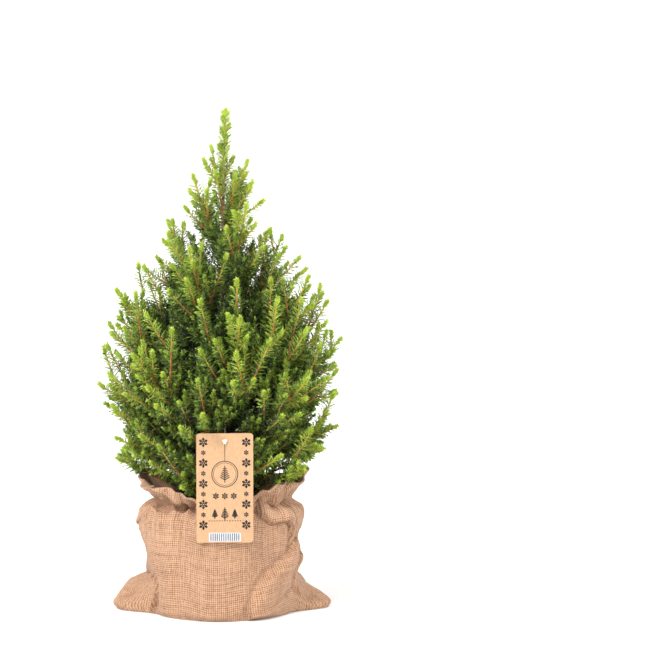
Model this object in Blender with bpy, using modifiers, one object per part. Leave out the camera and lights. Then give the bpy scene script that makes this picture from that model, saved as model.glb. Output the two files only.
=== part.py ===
"""A young white spruce of the dwarf conical kind, in a nursery pot dressed in a burlap sack.

The plant, its pot, the soil, the sack and the hang tag are separate solids in metres, +Z up.
The origin is on the ground under the middle of the pot, and the front of the plant looks along -Y.
Every limb is a curve from the trunk to a tip on the crown's outline, and every mass of foliage grows
on the outer part of such a limb, inside the space that is nearer to that limb than to any other.
"""

import math
import random

import bmesh
import bpy
import numpy as np
from mathutils import Matrix, Vector

MM = 0.001
WELDS = (1e-5, 2e-6, 2e-7)

# Driving sizes, in millimetres and degrees.
CLEARANCE = 0.3

POT_HEIGHT = 106.0
POT_FLOOR = 2.9
POT_TOP_RADIUS = 66.0
POT_FOOT_RADIUS = 50.0
POT_WALL = 1.6
POT_RIM_DROP = 14.0
POT_RIM_STEP = 2.4
SOIL_TOP = 102.0

TRUNK_TOP = 468.0
TRUNK_FOOT_RADIUS = 6.2
TRUNK_TOP_RADIUS = 1.1
ROOT_FLARE = 3.6
ROOT_FLARE_HEIGHT = 9.0
TRUNK_LEAN = 4.0
TRUNK_SWAY = 1.6
ROOT_FLUTES = 5
FLUTE_DEPTH = 0.22
TRUNK_SIDES = 10
TRUNK_RINGS = 13

CROWN_TOP = 527.0
CROWN_OUTLINE = (
    (122.0, 84.0),
    (135.0, 96.0),
    (165.0, 115.0),
    (200.0, 128.0),
    (245.0, 133.0),
    (290.0, 127.0),
    (335.0, 115.0),
    (365.0, 93.0),
    (405.0, 64.0),
    (450.0, 40.0),
    (488.0, 19.0),
    (504.0, 11.0),
    (527.0, 7.0),
)

# The limbs climb the trunk at the golden angle, and the upper ones need no bough below their mass.
LIMB_COUNT = 32
BOUGH_COUNT = 18
LOWEST_TIP = 134.0
HIGHEST_TIP = 488.0
FIRST_AZIMUTH = 186.0
GOLDEN_ANGLE = 137.508
LOW_ANGLE = 72.0
HIGH_ANGLE = 20.0
ANGLE_EASE = 0.55
LOWEST_ROOT = 112.0
ROOT_STEP = 3.2
TIP_CROWDING = 1.42
LIMB_BOW = 0.12
BOUGH_ROOT_RADIUS = 2.3
BOUGH_SIDES = 6
BOUGH_SHARE = 0.34
TIP_OVER_HEM = 20.0

# A shoot is a slim core whose faces are drawn out to needles.
STEM_RADIUS = 1.9
SIDE_RADIUS = 1.35
NEEDLE_REACH = 8.6
NEEDLE_LEAN = 0.62
RING_STEP = 16.0
SIDE_SHOOTS = 10
COARSE_STEP = 2
SIDE_ANGLE = 40.0
SIDE_LIFT = 0.3
SIDE_SHARE = 0.9
SIDE_INSET = 7.0
SHORTEST_SIDE = 12.0
TRIM_STEP = 2.0
BUD_LENGTH = 5.5
UPTURN = 0.16

# The sack's outer skin from the ground up: height, half width, half depth, fold depth and ear reach.
SACK_WALL = 2.4
SACK_FLOOR = 2.6
SACK_POINTS = 42
EAR_HALF_ANGLE = 15.0
SACK_SECTIONS = (
    (0.0, 76.0, 80.0, 0.6, 31.0),
    (5.0, 78.5, 83.5, 0.8, 37.0),
    (15.0, 78.0, 84.0, 1.0, 33.0),
    (27.0, 77.0, 83.0, 1.2, 16.5),
    (42.0, 77.5, 82.0, 1.3, 3.0),
    (62.0, 82.0, 83.0, 1.4, 0.0),
    (86.0, 85.0, 84.0, 1.6, 0.0),
    (101.0, 86.5, 84.0, 1.8, 0.0),
    (109.0, 80.0, 78.0, 2.2, 0.0),
    (114.0, 70.5, 68.0, 2.4, 0.0),
)
EARS_TOP = 30.0
HEM_FRONT = 121.0
HEM_SIDE_RISE = 22.0
HEM_BACK_RISE = 9.0
HEM_WAVE = 2.2
HEM_HALF_WIDTH = 88.0
HEM_HALF_DEPTH = 79.0
HEM_FOLD = 1.8
COLLAR_STEP = 12.0

TAG_WIDTH = 57.0
TAG_HEIGHT = 110.0
TAG_THICK = 0.9
TAG_CORNER = 3.0
TAG_HOLE_RADIUS = 2.2
TAG_HOLE_DROP = 8.0
TAG_BOTTOM = 82.0
TAG_CENTRE_X = 2.5
TAG_FRONT = -91.0
BEHIND_TAG = 9.0
TAG_SHADOW = 40.0

STRING_RADIUS = 0.8
STRING_LOWEST = 202.0
STRING_HIGHEST = 212.0
STRING_SAG = 2.5
KNOT_RADIUS = 2.9
KNOT_SEAT = 2.0


def clear_scene():
    """Remove what the file opened with."""
    for thing in list(bpy.data.objects):
        bpy.data.objects.remove(thing, do_unlink=True)


def new_collection(name):
    """Make a collection in the scene."""
    collection = bpy.data.collections.new(name)
    bpy.context.scene.collection.children.link(collection)
    return collection


def hex_to_linear(code):
    """Turn an sRGB hex colour into linear red, green, blue and alpha."""
    channels = [int(code[i:i + 2], 16) / 255.0 for i in (0, 2, 4)]
    linear = [c / 12.92 if c <= 0.04045 else ((c + 0.055) / 1.055) ** 2.4 for c in channels]
    return (*linear, 1.0)


def make_material(name, code, roughness):
    """A Principled material with the colour and gloss of one finish."""
    material = bpy.data.materials.new(name)
    material.use_nodes = True
    shader = material.node_tree.nodes["Principled BSDF"]
    shader.inputs["Base Color"].default_value = hex_to_linear(code)
    shader.inputs["Roughness"].default_value = roughness
    shader.inputs["Metallic"].default_value = 0.0
    return material


def add_object(bm, name, collection, material):
    """Turn a bmesh in millimetres into a named object in metres."""
    bmesh.ops.scale(bm, vec=(MM, MM, MM), verts=bm.verts)
    mesh = bpy.data.meshes.new(name)
    bm.to_mesh(mesh)
    bm.free()
    mesh.materials.append(material)
    thing = bpy.data.objects.new(name, mesh)
    collection.objects.link(thing)
    return thing


def blend(a, b, t):
    """Go from a to b as t goes from 0 to 1."""
    return a + (b - a) * t


def crown_reach(height):
    """Radius of the crown's outline at a height."""
    heights = [point[0] for point in CROWN_OUTLINE]
    reaches = [point[1] for point in CROWN_OUTLINE]
    return float(np.interp(height, heights, reaches))


# The trunk.

def trunk_centre(height):
    """Middle of the trunk at a height: a slight lean with a slow sway."""
    u = (height - SOIL_TOP) / (CROWN_TOP - SOIL_TOP)
    sway = TRUNK_SWAY * math.sin(2.0 * math.pi * u)
    return Vector((TRUNK_LEAN * u + sway, TRUNK_SWAY * math.sin(1.4 * math.pi * u), height))


def trunk_radius(height):
    """Radius of the trunk at a height, with the root flare at its foot."""
    u = (height - SOIL_TOP) / (TRUNK_TOP - SOIL_TOP)
    taper = blend(TRUNK_FOOT_RADIUS, TRUNK_TOP_RADIUS, u ** 0.85 if u > 0.0 else 0.0)
    return taper + ROOT_FLARE * math.exp(-(height - SOIL_TOP) / ROOT_FLARE_HEIGHT)


def trunk_solid(extra):
    """The trunk as a stack of rings, widened by extra."""
    foot = SOIL_TOP + CLEARANCE - extra
    bm = bmesh.new()
    rings = []
    for i in range(TRUNK_RINGS):
        u = (i / (TRUNK_RINGS - 1)) ** 1.6
        height = blend(foot, TRUNK_TOP + extra, u)
        centre = trunk_centre(height)
        radius = trunk_radius(height) + extra
        ring = []
        for k in range(TRUNK_SIDES):
            angle = 2.0 * math.pi * k / TRUNK_SIDES
            fade = math.exp(-(height - foot) / ROOT_FLARE_HEIGHT)
            flute = 1.0 + FLUTE_DEPTH * math.cos(ROOT_FLUTES * angle) * fade
            offset = Vector((math.cos(angle), math.sin(angle), 0.0)) * radius * flute
            ring.append(bm.verts.new(centre + offset))
        rings.append(ring)
    bridge_rings(bm, rings)
    bm.faces.new(list(reversed(rings[0])))
    bm.faces.new(rings[-1])
    return bm


def bridge_rings(bm, rings):
    """Join each ring of points to the next with faces."""
    for low, high in zip(rings, rings[1:]):
        count = len(low)
        for k in range(count):
            n = (k + 1) % count
            bm.faces.new((low[k], low[n], high[n], high[k]))


# The limbs: each one is a bowed curve from the trunk's middle to a tip on the crown's outline.

def limb_ends(index):
    """Root, middle control point and tip of a limb."""
    u = index / (LIMB_COUNT - 1)
    azimuth = math.radians(FIRST_AZIMUTH + GOLDEN_ANGLE * index)
    over_hem = sack_rim_height(azimuth) + TIP_OVER_HEM
    tip_height = max(blend(LOWEST_TIP, HIGHEST_TIP, u ** TIP_CROWDING), over_hem)
    reach = crown_reach(tip_height)
    faces_front = math.sin(azimuth) < -0.72
    if faces_front and tip_height < TAG_BOTTOM + TAG_HEIGHT + TAG_SHADOW:
        reach = min(reach, -TAG_FRONT - BEHIND_TAG)
    rise_share = (tip_height - LOWEST_TIP) / (HIGHEST_TIP - LOWEST_TIP)
    slope = math.radians(LOW_ANGLE - (LOW_ANGLE - HIGH_ANGLE) * rise_share ** ANGLE_EASE)
    root_height = max(tip_height - reach / math.tan(slope), LOWEST_ROOT + ROOT_STEP * index)
    rise = tip_height - root_height
    root = trunk_centre(root_height)
    tip = Vector((reach * math.cos(azimuth), reach * math.sin(azimuth), tip_height))
    across = Vector((tip.x - root.x, tip.y - root.y, 0.0))
    control = root + across * 0.5 + Vector((0.0, 0.0, rise * (0.5 - LIMB_BOW)))
    return root, control, tip


def limb_point(ends, t):
    """Point on a limb, t from 0 at the trunk to 1 at the tip."""
    root, control, tip = ends
    return root * (1.0 - t) ** 2 + control * (2.0 * t * (1.0 - t)) + tip * t ** 2


def leader_ends():
    """The leading shoot, which carries the trunk on to the top of the crown."""
    root = trunk_centre(TRUNK_TOP + CLEARANCE)
    tip = trunk_centre(CROWN_TOP - 2.0)
    return root, (root + tip) * 0.5, tip


def string_ring_height():
    """Height at which the string's ring and its run to the tag are furthest from the limbs."""
    limbs = []
    for index in range(LIMB_COUNT):
        ends = limb_ends(index)
        limbs.extend(limb_point(ends, 0.01 * k) for k in range(3, 40))
    limbs = np.array(limbs)
    best_height, best_room = STRING_LOWEST, 0.0
    for height in np.arange(STRING_LOWEST, STRING_HIGHEST, 0.5):
        centre = trunk_centre(height)
        radius = trunk_radius(height) + CLEARANCE + STRING_RADIUS
        places = []
        for k in range(24):
            angle = 2.0 * math.pi * k / 24
            places.append(centre + Vector((math.cos(angle), math.sin(angle), 0.0)) * radius)
        start = centre - Vector((0.0, radius, 0.0))
        end = Vector((TAG_CENTRE_X, TAG_FRONT, TAG_BOTTOM + TAG_HEIGHT - TAG_HOLE_DROP))
        places.extend(start.lerp(end, k / 40.0) for k in range(41))
        gaps = np.linalg.norm(limbs[:, None, :] - np.array(places)[None, :, :], axis=2)
        if gaps.min() > best_room:
            best_height, best_room = float(height), float(gaps.min())
    return best_height


def line_points(ends, first, last, step):
    """Points along a limb from t = first to t = last, about step apart."""
    length = (limb_point(ends, last) - limb_point(ends, first)).length
    count = max(2, round(length / step) + 1)
    return [limb_point(ends, blend(first, last, i / (count - 1))) for i in range(count)]


def frames_along(points):
    """A pair of directions across the path at each of its points."""
    frames = []
    across = None
    for i, point in enumerate(points):
        ahead = points[min(i + 1, len(points) - 1)] - points[max(i - 1, 0)]
        ahead.normalize()
        if across is None:
            across = ahead.orthogonal().normalized()
        across = (across - ahead * across.dot(ahead)).normalized()
        frames.append((ahead, across, ahead.cross(across)))
    return frames


def tube_solid(points, radii, sides):
    """A tapering limb with flat ends."""
    bm = bmesh.new()
    rings = []
    for point, radius, (_, across, up) in zip(points, radii, frames_along(points)):
        ring = []
        for k in range(sides):
            angle = 2.0 * math.pi * k / sides
            ring.append(bm.verts.new(point + (across * math.cos(angle) + up * math.sin(angle)) * radius))
        rings.append(ring)
    bridge_rings(bm, rings)
    bm.faces.new(list(reversed(rings[0])))
    bm.faces.new(rings[-1])
    return bm


def bough_radius(index, t):
    """Radius of a bough, thinner higher up the tree and towards its end."""
    size = blend(1.0, 0.66, index / LIMB_COUNT)
    return size * blend(BOUGH_ROOT_RADIUS, STEM_RADIUS * 0.8, min(t / BOUGH_SHARE, 1.0))


# The space that each mass keeps to.

class Space:
    """Tells which limb a point is nearest to, and what else is close to it."""

    def __init__(self, all_ends):
        starts, ends, owners = [], [], []
        for owner, limb in enumerate(all_ends):
            points = [limb_point(limb, i / 10.0) for i in range(11)]
            for a, b in zip(points, points[1:]):
                starts.append(a)
                ends.append(b)
                owners.append(owner)
        self.starts = np.array(starts)
        self.spans = np.array(ends) - self.starts
        self.lengths = np.maximum((self.spans ** 2).sum(axis=1), 1e-9)
        self.owners = np.array(owners)

    def room(self, point, owner):
        """How much nearer the point is to its own limb than to the next one."""
        p = np.array(point)
        along = ((p - self.starts) * self.spans).sum(axis=1) / self.lengths
        nearest = self.starts + self.spans * np.clip(along, 0.0, 1.0)[:, None]
        gaps = np.sqrt(((p - nearest) ** 2).sum(axis=1))
        own = gaps[self.owners == owner].min()
        other = gaps[self.owners != owner].min()
        return other - own


def sack_rim_height(angle):
    """Height of the sack's hem round the plant: it stands up at the sides and dips in front."""
    side = math.cos(angle) ** 2
    back = max(math.sin(angle), 0.0)
    rise = HEM_SIDE_RISE * side ** 1.5 + HEM_BACK_RISE * back
    return HEM_FRONT + rise + HEM_WAVE * math.sin(5.0 * angle + 0.6)


def clear_of_fixed(point, margin):
    """True where a point keeps its distance from trunk, string, tag, sack, soil and outline."""
    flat = Vector((point.x, point.y))
    if point.z < TRUNK_TOP + 4.0:
        axis = trunk_centre(point.z)
        if (flat - Vector((axis.x, axis.y))).length < trunk_radius(point.z) + margin + 0.4:
            return False
    if abs(point.x - TAG_CENTRE_X) < 4.0 + margin and point.y < 12.0:
        share = min(max(point.y / TAG_FRONT, 0.0), 1.0)
        hole_height = TAG_BOTTOM + TAG_HEIGHT - TAG_HOLE_DROP
        low = blend(STRING_LOWEST, hole_height, share) - STRING_SAG - 2.0 - margin
        if low < point.z < blend(STRING_HIGHEST, hole_height, share) + 1.0 + margin:
            return False
    tag_top = TAG_BOTTOM + TAG_HEIGHT
    beside_tag = abs(point.x - TAG_CENTRE_X) < TAG_WIDTH / 2.0 + 3.0
    if beside_tag and point.y < TAG_FRONT + 4.0 + margin and point.z < tag_top + 3.0:
        return False
    angle = math.atan2(point.y, point.x)
    if flat.length > 50.0 and point.z < sack_rim_height(angle) + 4.0 + margin:
        return False
    return point.z > SOIL_TOP + 8.0 + margin


# Shoots: a slim three-sided core, each face drawn out to a needle that leans forward.

def shoot_solid(points, root_radius, tip_radius, bare_rings, is_clear):
    """One shoot. is_clear says where a needle's point may go."""
    bm = bmesh.new()
    frames = frames_along(points)
    last = len(points) - 1
    rings = []
    for i, (point, (_, across, up)) in enumerate(zip(points, frames)):
        radius = blend(root_radius, tip_radius, i / last)
        ring = []
        for k in range(3):
            angle = math.radians(120.0 * k + 60.0 * (i % 2))
            ring.append(bm.verts.new(point + (across * math.cos(angle) + up * math.sin(angle)) * radius))
        rings.append(ring)
    bud = bm.verts.new(points[-1] + frames[-1][0] * BUD_LENGTH)
    bm.faces.new(list(reversed(rings[0])))
    side_faces = []
    for i, (low, high) in enumerate(zip(rings, rings[1:])):
        turn = i % 2
        for k in range(3):
            n = (k + 1) % 3
            if turn == 0:
                pair = ((low[k], low[n], high[k]), (low[n], high[n], high[k]))
            else:
                pair = ((low[k], high[n], high[k]), (low[k], low[n], high[n]))
            for corners in pair:
                side_faces.append((bm.faces.new(corners), i))
    for k in range(3):
        bm.faces.new((rings[-1][k], rings[-1][(k + 1) % 3], bud))
    bmesh.ops.recalc_face_normals(bm, faces=bm.faces)
    for face, i in side_faces:
        if i < bare_rings:
            continue
        ahead = frames[i][0]
        middle = face.calc_center_median()
        out = face.normal - ahead * face.normal.dot(ahead)
        out.normalize()
        shrink = 0.8 if i == last - 1 else 1.0
        needle = out * (NEEDLE_REACH * shrink - root_radius * 0.6) + ahead * NEEDLE_REACH * NEEDLE_LEAN
        if not (is_clear(middle + needle) and is_clear(middle + needle * 0.5)):
            continue
        poked = bmesh.ops.poke(bm, faces=[face])
        poked["verts"][0].co = middle + needle
    return bm


def side_shoot_paths(index, ends, first, space, step):
    """The seeded rule for the shoots on a limb: how each one leaves the stem and how far it runs."""
    rng = random.Random(500 + index)
    phase = rng.uniform(0.0, 360.0)
    stem_length = (limb_point(ends, 1.0) - limb_point(ends, first)).length
    paths = []
    for j in range(SIDE_SHOOTS):
        along = blend(0.03, 0.85, j / (SIDE_SHOOTS - 1))
        length = stem_length * (1.0 - along) * SIDE_SHARE * rng.uniform(0.8, 1.1)
        spread = math.radians(SIDE_ANGLE + rng.uniform(-6.0, 6.0))
        roll = math.radians(phase + GOLDEN_ANGLE * j + rng.uniform(-14.0, 14.0))
        if j % step:
            continue
        t = blend(first, 1.0, along)
        start = limb_point(ends, t)
        ahead = (limb_point(ends, min(t + 0.04, 1.0)) - limb_point(ends, t - 0.04)).normalized()
        level = ahead.cross(Vector((0.0, 0.0, 1.0)))
        level = level.normalized() if level.length > 0.05 else Vector((1.0, 0.0, 0.0))
        upward = level.cross(ahead)
        out = level * math.cos(roll) + upward * math.sin(roll)
        heading = ahead * math.cos(spread) + out * math.sin(spread) + Vector((0.0, 0.0, SIDE_LIFT))
        heading.normalize()
        length = max(length, SHORTEST_SIDE)
        paths.append(trimmed_path(start, heading, length, index, space))
    return [path for path in paths if path is not None]


def trimmed_path(start, heading, length, owner, space):
    """A slightly upturned path, cut short where it would leave its space; None if too little is left."""
    def along(s):
        return start + heading * s + Vector((0.0, 0.0, UPTURN * s * s / length))

    run = 0.0
    while run < length:
        point = along(run + TRIM_STEP)
        ahead = point + heading * BUD_LENGTH
        outside = math.hypot(ahead.x, ahead.y) > crown_reach(ahead.z) - SIDE_INSET or ahead.z > CROWN_TOP
        if outside or space.room(ahead, owner) < 1.2 or space.room(point, owner) < 1.2 and run > 4.0:
            break
        if not clear_of_fixed(point, SIDE_RADIUS + 0.6) or not clear_of_fixed(ahead, 1.0):
            break
        run += TRIM_STEP
    if run < SHORTEST_SIDE:
        return None
    count = max(3, round(run / RING_STEP) + 1)
    return [along(run * i / (count - 1)) for i in range(count)]


def is_closed(bm):
    """True when every edge has two faces."""
    return all(len(edge.link_faces) == 2 for edge in bm.edges)


def largest_piece(bm):
    """Drop loose scraps and keep the biggest connected body."""
    unseen = set(bm.verts)
    pieces = []
    while unseen:
        stack = [unseen.pop()]
        piece = set(stack)
        while stack:
            vert = stack.pop()
            for edge in vert.link_edges:
                other = edge.other_vert(vert)
                if other in unseen:
                    unseen.discard(other)
                    piece.add(other)
                    stack.append(other)
        pieces.append(piece)
    pieces.sort(key=len, reverse=True)
    scraps = [vert for piece in pieces[1:] for vert in piece]
    bmesh.ops.delete(bm, geom=scraps, context="VERTS")


def apply_boolean(thing, operation, solver, weld, collection=None, cutter=None):
    """Run one Boolean on the object, weld points closer than weld and return the result as a bmesh."""
    modifier = thing.modifiers.new("join", "BOOLEAN")
    modifier.operation = operation
    modifier.solver = solver
    if collection is not None:
        modifier.operand_type = "COLLECTION"
        modifier.collection = collection
    else:
        modifier.object = cutter
    depsgraph = bpy.context.evaluated_depsgraph_get()
    mesh = bpy.data.meshes.new_from_object(thing.evaluated_get(depsgraph), depsgraph=depsgraph)
    thing.modifiers.remove(modifier)
    bm = bmesh.new()
    bm.from_mesh(mesh)
    bpy.data.meshes.remove(mesh)
    bmesh.ops.triangulate(bm, faces=bm.faces)
    bmesh.ops.remove_doubles(bm, verts=bm.verts, dist=weld)
    bmesh.ops.dissolve_degenerate(bm, edges=bm.edges, dist=weld)
    bmesh.ops.triangulate(bm, faces=bm.faces)
    largest_piece(bm)
    return bm


def settle_boolean(thing, operation, collection=None, cutter=None):
    """Keep the first closed result: the exact solver's where it can be had, else the manifold one's."""
    for solver in ("EXACT", "MANIFOLD"):
        for weld in WELDS:
            bm = apply_boolean(thing, operation, solver, weld, collection, cutter)
            if is_closed(bm):
                bm.to_mesh(thing.data)
                bm.free()
                return
            bm.free()
    raise RuntimeError(thing.name + " does not close")


def foliage_mass(name, index, ends, first, space, parts, material, cutter):
    """One mass of foliage: a stem shoot with its side shoots, joined into one solid."""
    stem_points = line_points(ends, first, 1.0, RING_STEP)
    stem_points[-1] = stem_points[-1] - (stem_points[-1] - stem_points[-2]).normalized() * 5.0

    def is_clear(point):
        return space.room(point, index) > 0.7 and clear_of_fixed(point, 0.6)

    bare = 1 if cutter is None else 2
    bm = shoot_solid(stem_points, STEM_RADIUS * 0.8, 1.1, bare, is_clear)
    stem = add_object(bm, name, parts, material)
    twigs = new_collection(name + "_twigs")
    for path in side_shoot_paths(index, ends, first, space, COARSE_STEP):
        bm = shoot_solid(path, SIDE_RADIUS * 0.75, 0.9, 1, is_clear)
        add_object(bm, name + "_twig", twigs, material)
    if len(twigs.objects) > 0:
        settle_boolean(stem, "UNION", collection=twigs)
    for twig in list(twigs.objects):
        bpy.data.objects.remove(twig, do_unlink=True)
    bpy.data.collections.remove(twigs)
    if cutter is not None:
        settle_boolean(stem, "DIFFERENCE", cutter=cutter)


def make_plant(parts, helpers):
    """Trunk, boughs and masses."""
    bark = make_material("bark", "9A6242", 0.85)
    needles = make_material("needles", "4E7A32", 0.6)
    add_object(trunk_solid(0.0), "trunk", parts, bark)
    cutter = add_object(trunk_solid(CLEARANCE), "trunk_room", helpers, bark)
    cutter.hide_render = True
    cutter.display_type = "WIRE"
    limbs = [limb_ends(i) for i in range(LIMB_COUNT)] + [leader_ends()]
    space = Space(limbs)
    for i in range(LIMB_COUNT):
        ends = limbs[i]
        number = f"{i + 1:02d}"
        first = 0.0
        if i < BOUGH_COUNT:
            points = line_points(ends, 0.0, BOUGH_SHARE, 14.0)
            radii = [bough_radius(i, BOUGH_SHARE * k / (len(points) - 1)) for k in range(len(points))]
            bough = add_object(tube_solid(points, radii, BOUGH_SIDES), "bough_" + number, parts, bark)
            settle_boolean(bough, "DIFFERENCE", cutter=cutter)
            length = (ends[2] - ends[0]).length
            first = BOUGH_SHARE + CLEARANCE / length
        stem_cutter = None if i < BOUGH_COUNT else cutter
        foliage_mass("mass_" + number, i, ends, first, space, parts, needles, stem_cutter)
    foliage_mass("mass_leader", LIMB_COUNT, limbs[-1], 0.0, space, parts, needles, None)


# The pot, the soil and the sack.

def turned_solid(name, profile, segments, collection, material):
    """A turned solid from a profile that runs down its outer side, in millimetres."""
    bm = bmesh.new()
    verts = [bm.verts.new((radius, 0.0, height)) for radius, height in profile]
    for a, b in zip(verts, verts[1:]):
        bm.edges.new((a, b))
    thing = add_object(bm, name, collection, material)
    screw = thing.modifiers.new("turn", "SCREW")
    screw.steps = segments
    screw.render_steps = segments
    screw.use_merge_vertices = True
    screw.merge_threshold = 0.00001
    return thing


def make_pot(parts):
    """A tapered nursery pot with a deep rim."""
    plastic = make_material("pot_plastic", "2B2A29", 0.55)
    foot = SACK_FLOOR + CLEARANCE
    top = foot + POT_HEIGHT - POT_FLOOR
    step_height = top - POT_RIM_DROP
    taper = POT_TOP_RADIUS - POT_RIM_STEP
    profile = [
        (0.0, foot + POT_FLOOR),
        (POT_FOOT_RADIUS - POT_WALL, foot + POT_FLOOR),
        (taper - POT_WALL, step_height),
        (POT_TOP_RADIUS - POT_WALL, step_height + POT_RIM_STEP),
        (POT_TOP_RADIUS - POT_WALL, top),
        (POT_TOP_RADIUS, top),
        (POT_TOP_RADIUS, step_height),
        (taper, step_height),
        (POT_FOOT_RADIUS, foot),
        (0.0, foot),
    ]
    turned_solid("pot", profile, 24, parts, plastic)


def make_soil(parts):
    """The potting soil that fills the pot, low at the rim and level where the trunk stands."""
    peat = make_material("potting_soil", "3A2A20", 0.95)
    foot = SACK_FLOOR + CLEARANCE + POT_FLOOR + CLEARANCE
    step_height = SACK_FLOOR + CLEARANCE + POT_HEIGHT - POT_FLOOR - POT_RIM_DROP
    inner_foot = POT_FOOT_RADIUS - POT_WALL - 2.0 * CLEARANCE
    inner_top = POT_TOP_RADIUS - POT_RIM_STEP - POT_WALL - 2.0 * CLEARANCE
    profile = [
        (0.0, SOIL_TOP),
        (14.0, SOIL_TOP),
        (30.0, SOIL_TOP - 1.5),
        (inner_top - 4.0, SOIL_TOP - 5.0),
        (inner_top, step_height - 2.0),
        (inner_foot, foot),
        (0.0, foot),
    ]
    turned_solid("soil", profile, 24, parts, peat)


def sack_ring(height, half_width, half_depth, fold, ear):
    """One ring of the sack: an oval with folds and, low down, the two corner ears."""
    ring = []
    for k in range(SACK_POINTS):
        angle = 2.0 * math.pi * k / SACK_POINTS
        oval = 1.0 / math.hypot(math.cos(angle) / half_width, math.sin(angle) / half_depth)
        wave = fold * (math.sin(7.0 * angle + 0.4) + 0.6 * math.sin(11.0 * angle + 2.1))
        side = math.degrees(math.asin(min(1.0, abs(math.sin(angle)))))
        corner = ear * math.exp(-(side / EAR_HALF_ANGLE) ** 2)
        radius = oval + wave + corner
        ring.append(Vector((radius * math.cos(angle), radius * math.sin(angle), height)))
    return ring


def hem_ring(spread, drop):
    """A ring of the standing collar, spread from the hem by spread and lower than it by drop."""
    ring = []
    for k in range(SACK_POINTS):
        angle = 2.0 * math.pi * k / SACK_POINTS
        across = math.cos(angle) / (HEM_HALF_WIDTH + spread)
        deep = math.sin(angle) / (HEM_HALF_DEPTH + spread)
        radius = 1.0 / math.hypot(across, deep) + HEM_FOLD * math.sin(7.0 * angle + 0.9)
        height = sack_rim_height(angle) - drop
        ring.append(Vector((radius * math.cos(angle), radius * math.sin(angle), height)))
    return ring


def make_sack(parts):
    """A flat-bottomed burlap sack, drawn in over the pot's rim, with a hem that stands up and out."""
    burlap = make_material("burlap", "D9A87C", 0.9)
    outer = [sack_ring(*section) for section in SACK_SECTIONS]
    outer.append(hem_ring(-COLLAR_STEP, COLLAR_STEP * 0.5))
    outer.append(hem_ring(0.0, 0.0))
    inner = [hem_ring(-SACK_WALL * 0.7, -SACK_WALL * 0.5), hem_ring(-COLLAR_STEP - SACK_WALL, 4.0)]
    for height, half_width, half_depth, fold, _ in reversed(SACK_SECTIONS):
        if height > EARS_TOP:
            inner.append(sack_ring(height, half_width - SACK_WALL, half_depth - SACK_WALL, fold, 0.0))
    _, half_width, half_depth, fold, _ = SACK_SECTIONS[0]
    inset = 2.0 * SACK_WALL
    inner.append(sack_ring(SACK_FLOOR, half_width - inset, half_depth - inset, fold, 0.0))
    bm = bmesh.new()
    rings = [[bm.verts.new(point) for point in ring] for ring in outer + inner]
    bridge_rings(bm, rings)
    bm.faces.new(list(reversed(rings[0])))
    bm.faces.new(rings[-1])
    bmesh.ops.triangulate(bm, faces=bm.faces)
    add_object(bm, "sack", parts, burlap)


# The hang tag and its string.

def rounded_outline(width, height, corner, steps):
    """Corner points of an upright rectangle with round corners, centred on the origin."""
    points = []
    for sign_x, sign_y, start in ((1, 1, 0.0), (-1, 1, 90.0), (-1, -1, 180.0), (1, -1, 270.0)):
        centre_x = sign_x * (width / 2.0 - corner)
        centre_y = sign_y * (height / 2.0 - corner)
        for i in range(steps + 1):
            angle = math.radians(start + 90.0 * i / steps)
            points.append((centre_x + corner * math.cos(angle), centre_y + corner * math.sin(angle)))
    return points


def add_outline(curve, points):
    """Add a closed outline, in millimetres, to a flat curve."""
    spline = curve.splines.new("POLY")
    spline.points.add(len(points) - 1)
    for target, (x, y) in zip(spline.points, points):
        target.co = (x * MM, y * MM, 0.0, 1.0)
    spline.use_cyclic_u = True


def mesh_from_curve(curve_object, name, collection, material):
    """Swap a curve object for a welded mesh object."""
    depsgraph = bpy.context.evaluated_depsgraph_get()
    mesh = bpy.data.meshes.new_from_object(curve_object.evaluated_get(depsgraph), depsgraph=depsgraph)
    bm = bmesh.new()
    bm.from_mesh(mesh)
    bmesh.ops.remove_doubles(bm, verts=bm.verts, dist=1e-6)
    bmesh.ops.recalc_face_normals(bm, faces=bm.faces)
    bm.to_mesh(mesh)
    bm.free()
    mesh.materials.clear()
    mesh.materials.append(material)
    thing = bpy.data.objects.new(name, mesh)
    thing.matrix_world = curve_object.matrix_world.copy()
    collection.objects.link(thing)
    bpy.data.objects.remove(curve_object, do_unlink=True)
    return thing


def make_tag(parts):
    """A card tag that hangs upright in front of the sack, with a punched hole at its top."""
    card = make_material("kraft_card", "E9BE8F", 0.8)
    curve = bpy.data.curves.new("tag", "CURVE")
    curve.dimensions = "2D"
    curve.fill_mode = "BOTH"
    curve.extrude = TAG_THICK / 2.0 * MM
    add_outline(curve, rounded_outline(TAG_WIDTH, TAG_HEIGHT, TAG_CORNER, 4))
    hole_height = TAG_HEIGHT / 2.0 - TAG_HOLE_DROP
    steps = 14
    hole = []
    for k in range(steps):
        angle = 2.0 * math.pi * k / steps
        hole.append((TAG_HOLE_RADIUS * math.cos(angle), hole_height + TAG_HOLE_RADIUS * math.sin(angle)))
    add_outline(curve, hole)
    holder = bpy.data.objects.new("tag_outline", curve)
    parts.objects.link(holder)
    middle = TAG_BOTTOM + TAG_HEIGHT / 2.0
    stand = Matrix.Rotation(math.radians(90.0), 4, "X")
    place = Matrix.Translation(Vector((TAG_CENTRE_X, TAG_FRONT + TAG_THICK / 2.0, middle)) * MM)
    holder.matrix_world = place @ stand
    bpy.context.view_layer.update()
    mesh_from_curve(holder, "tag", parts, card)


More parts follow.
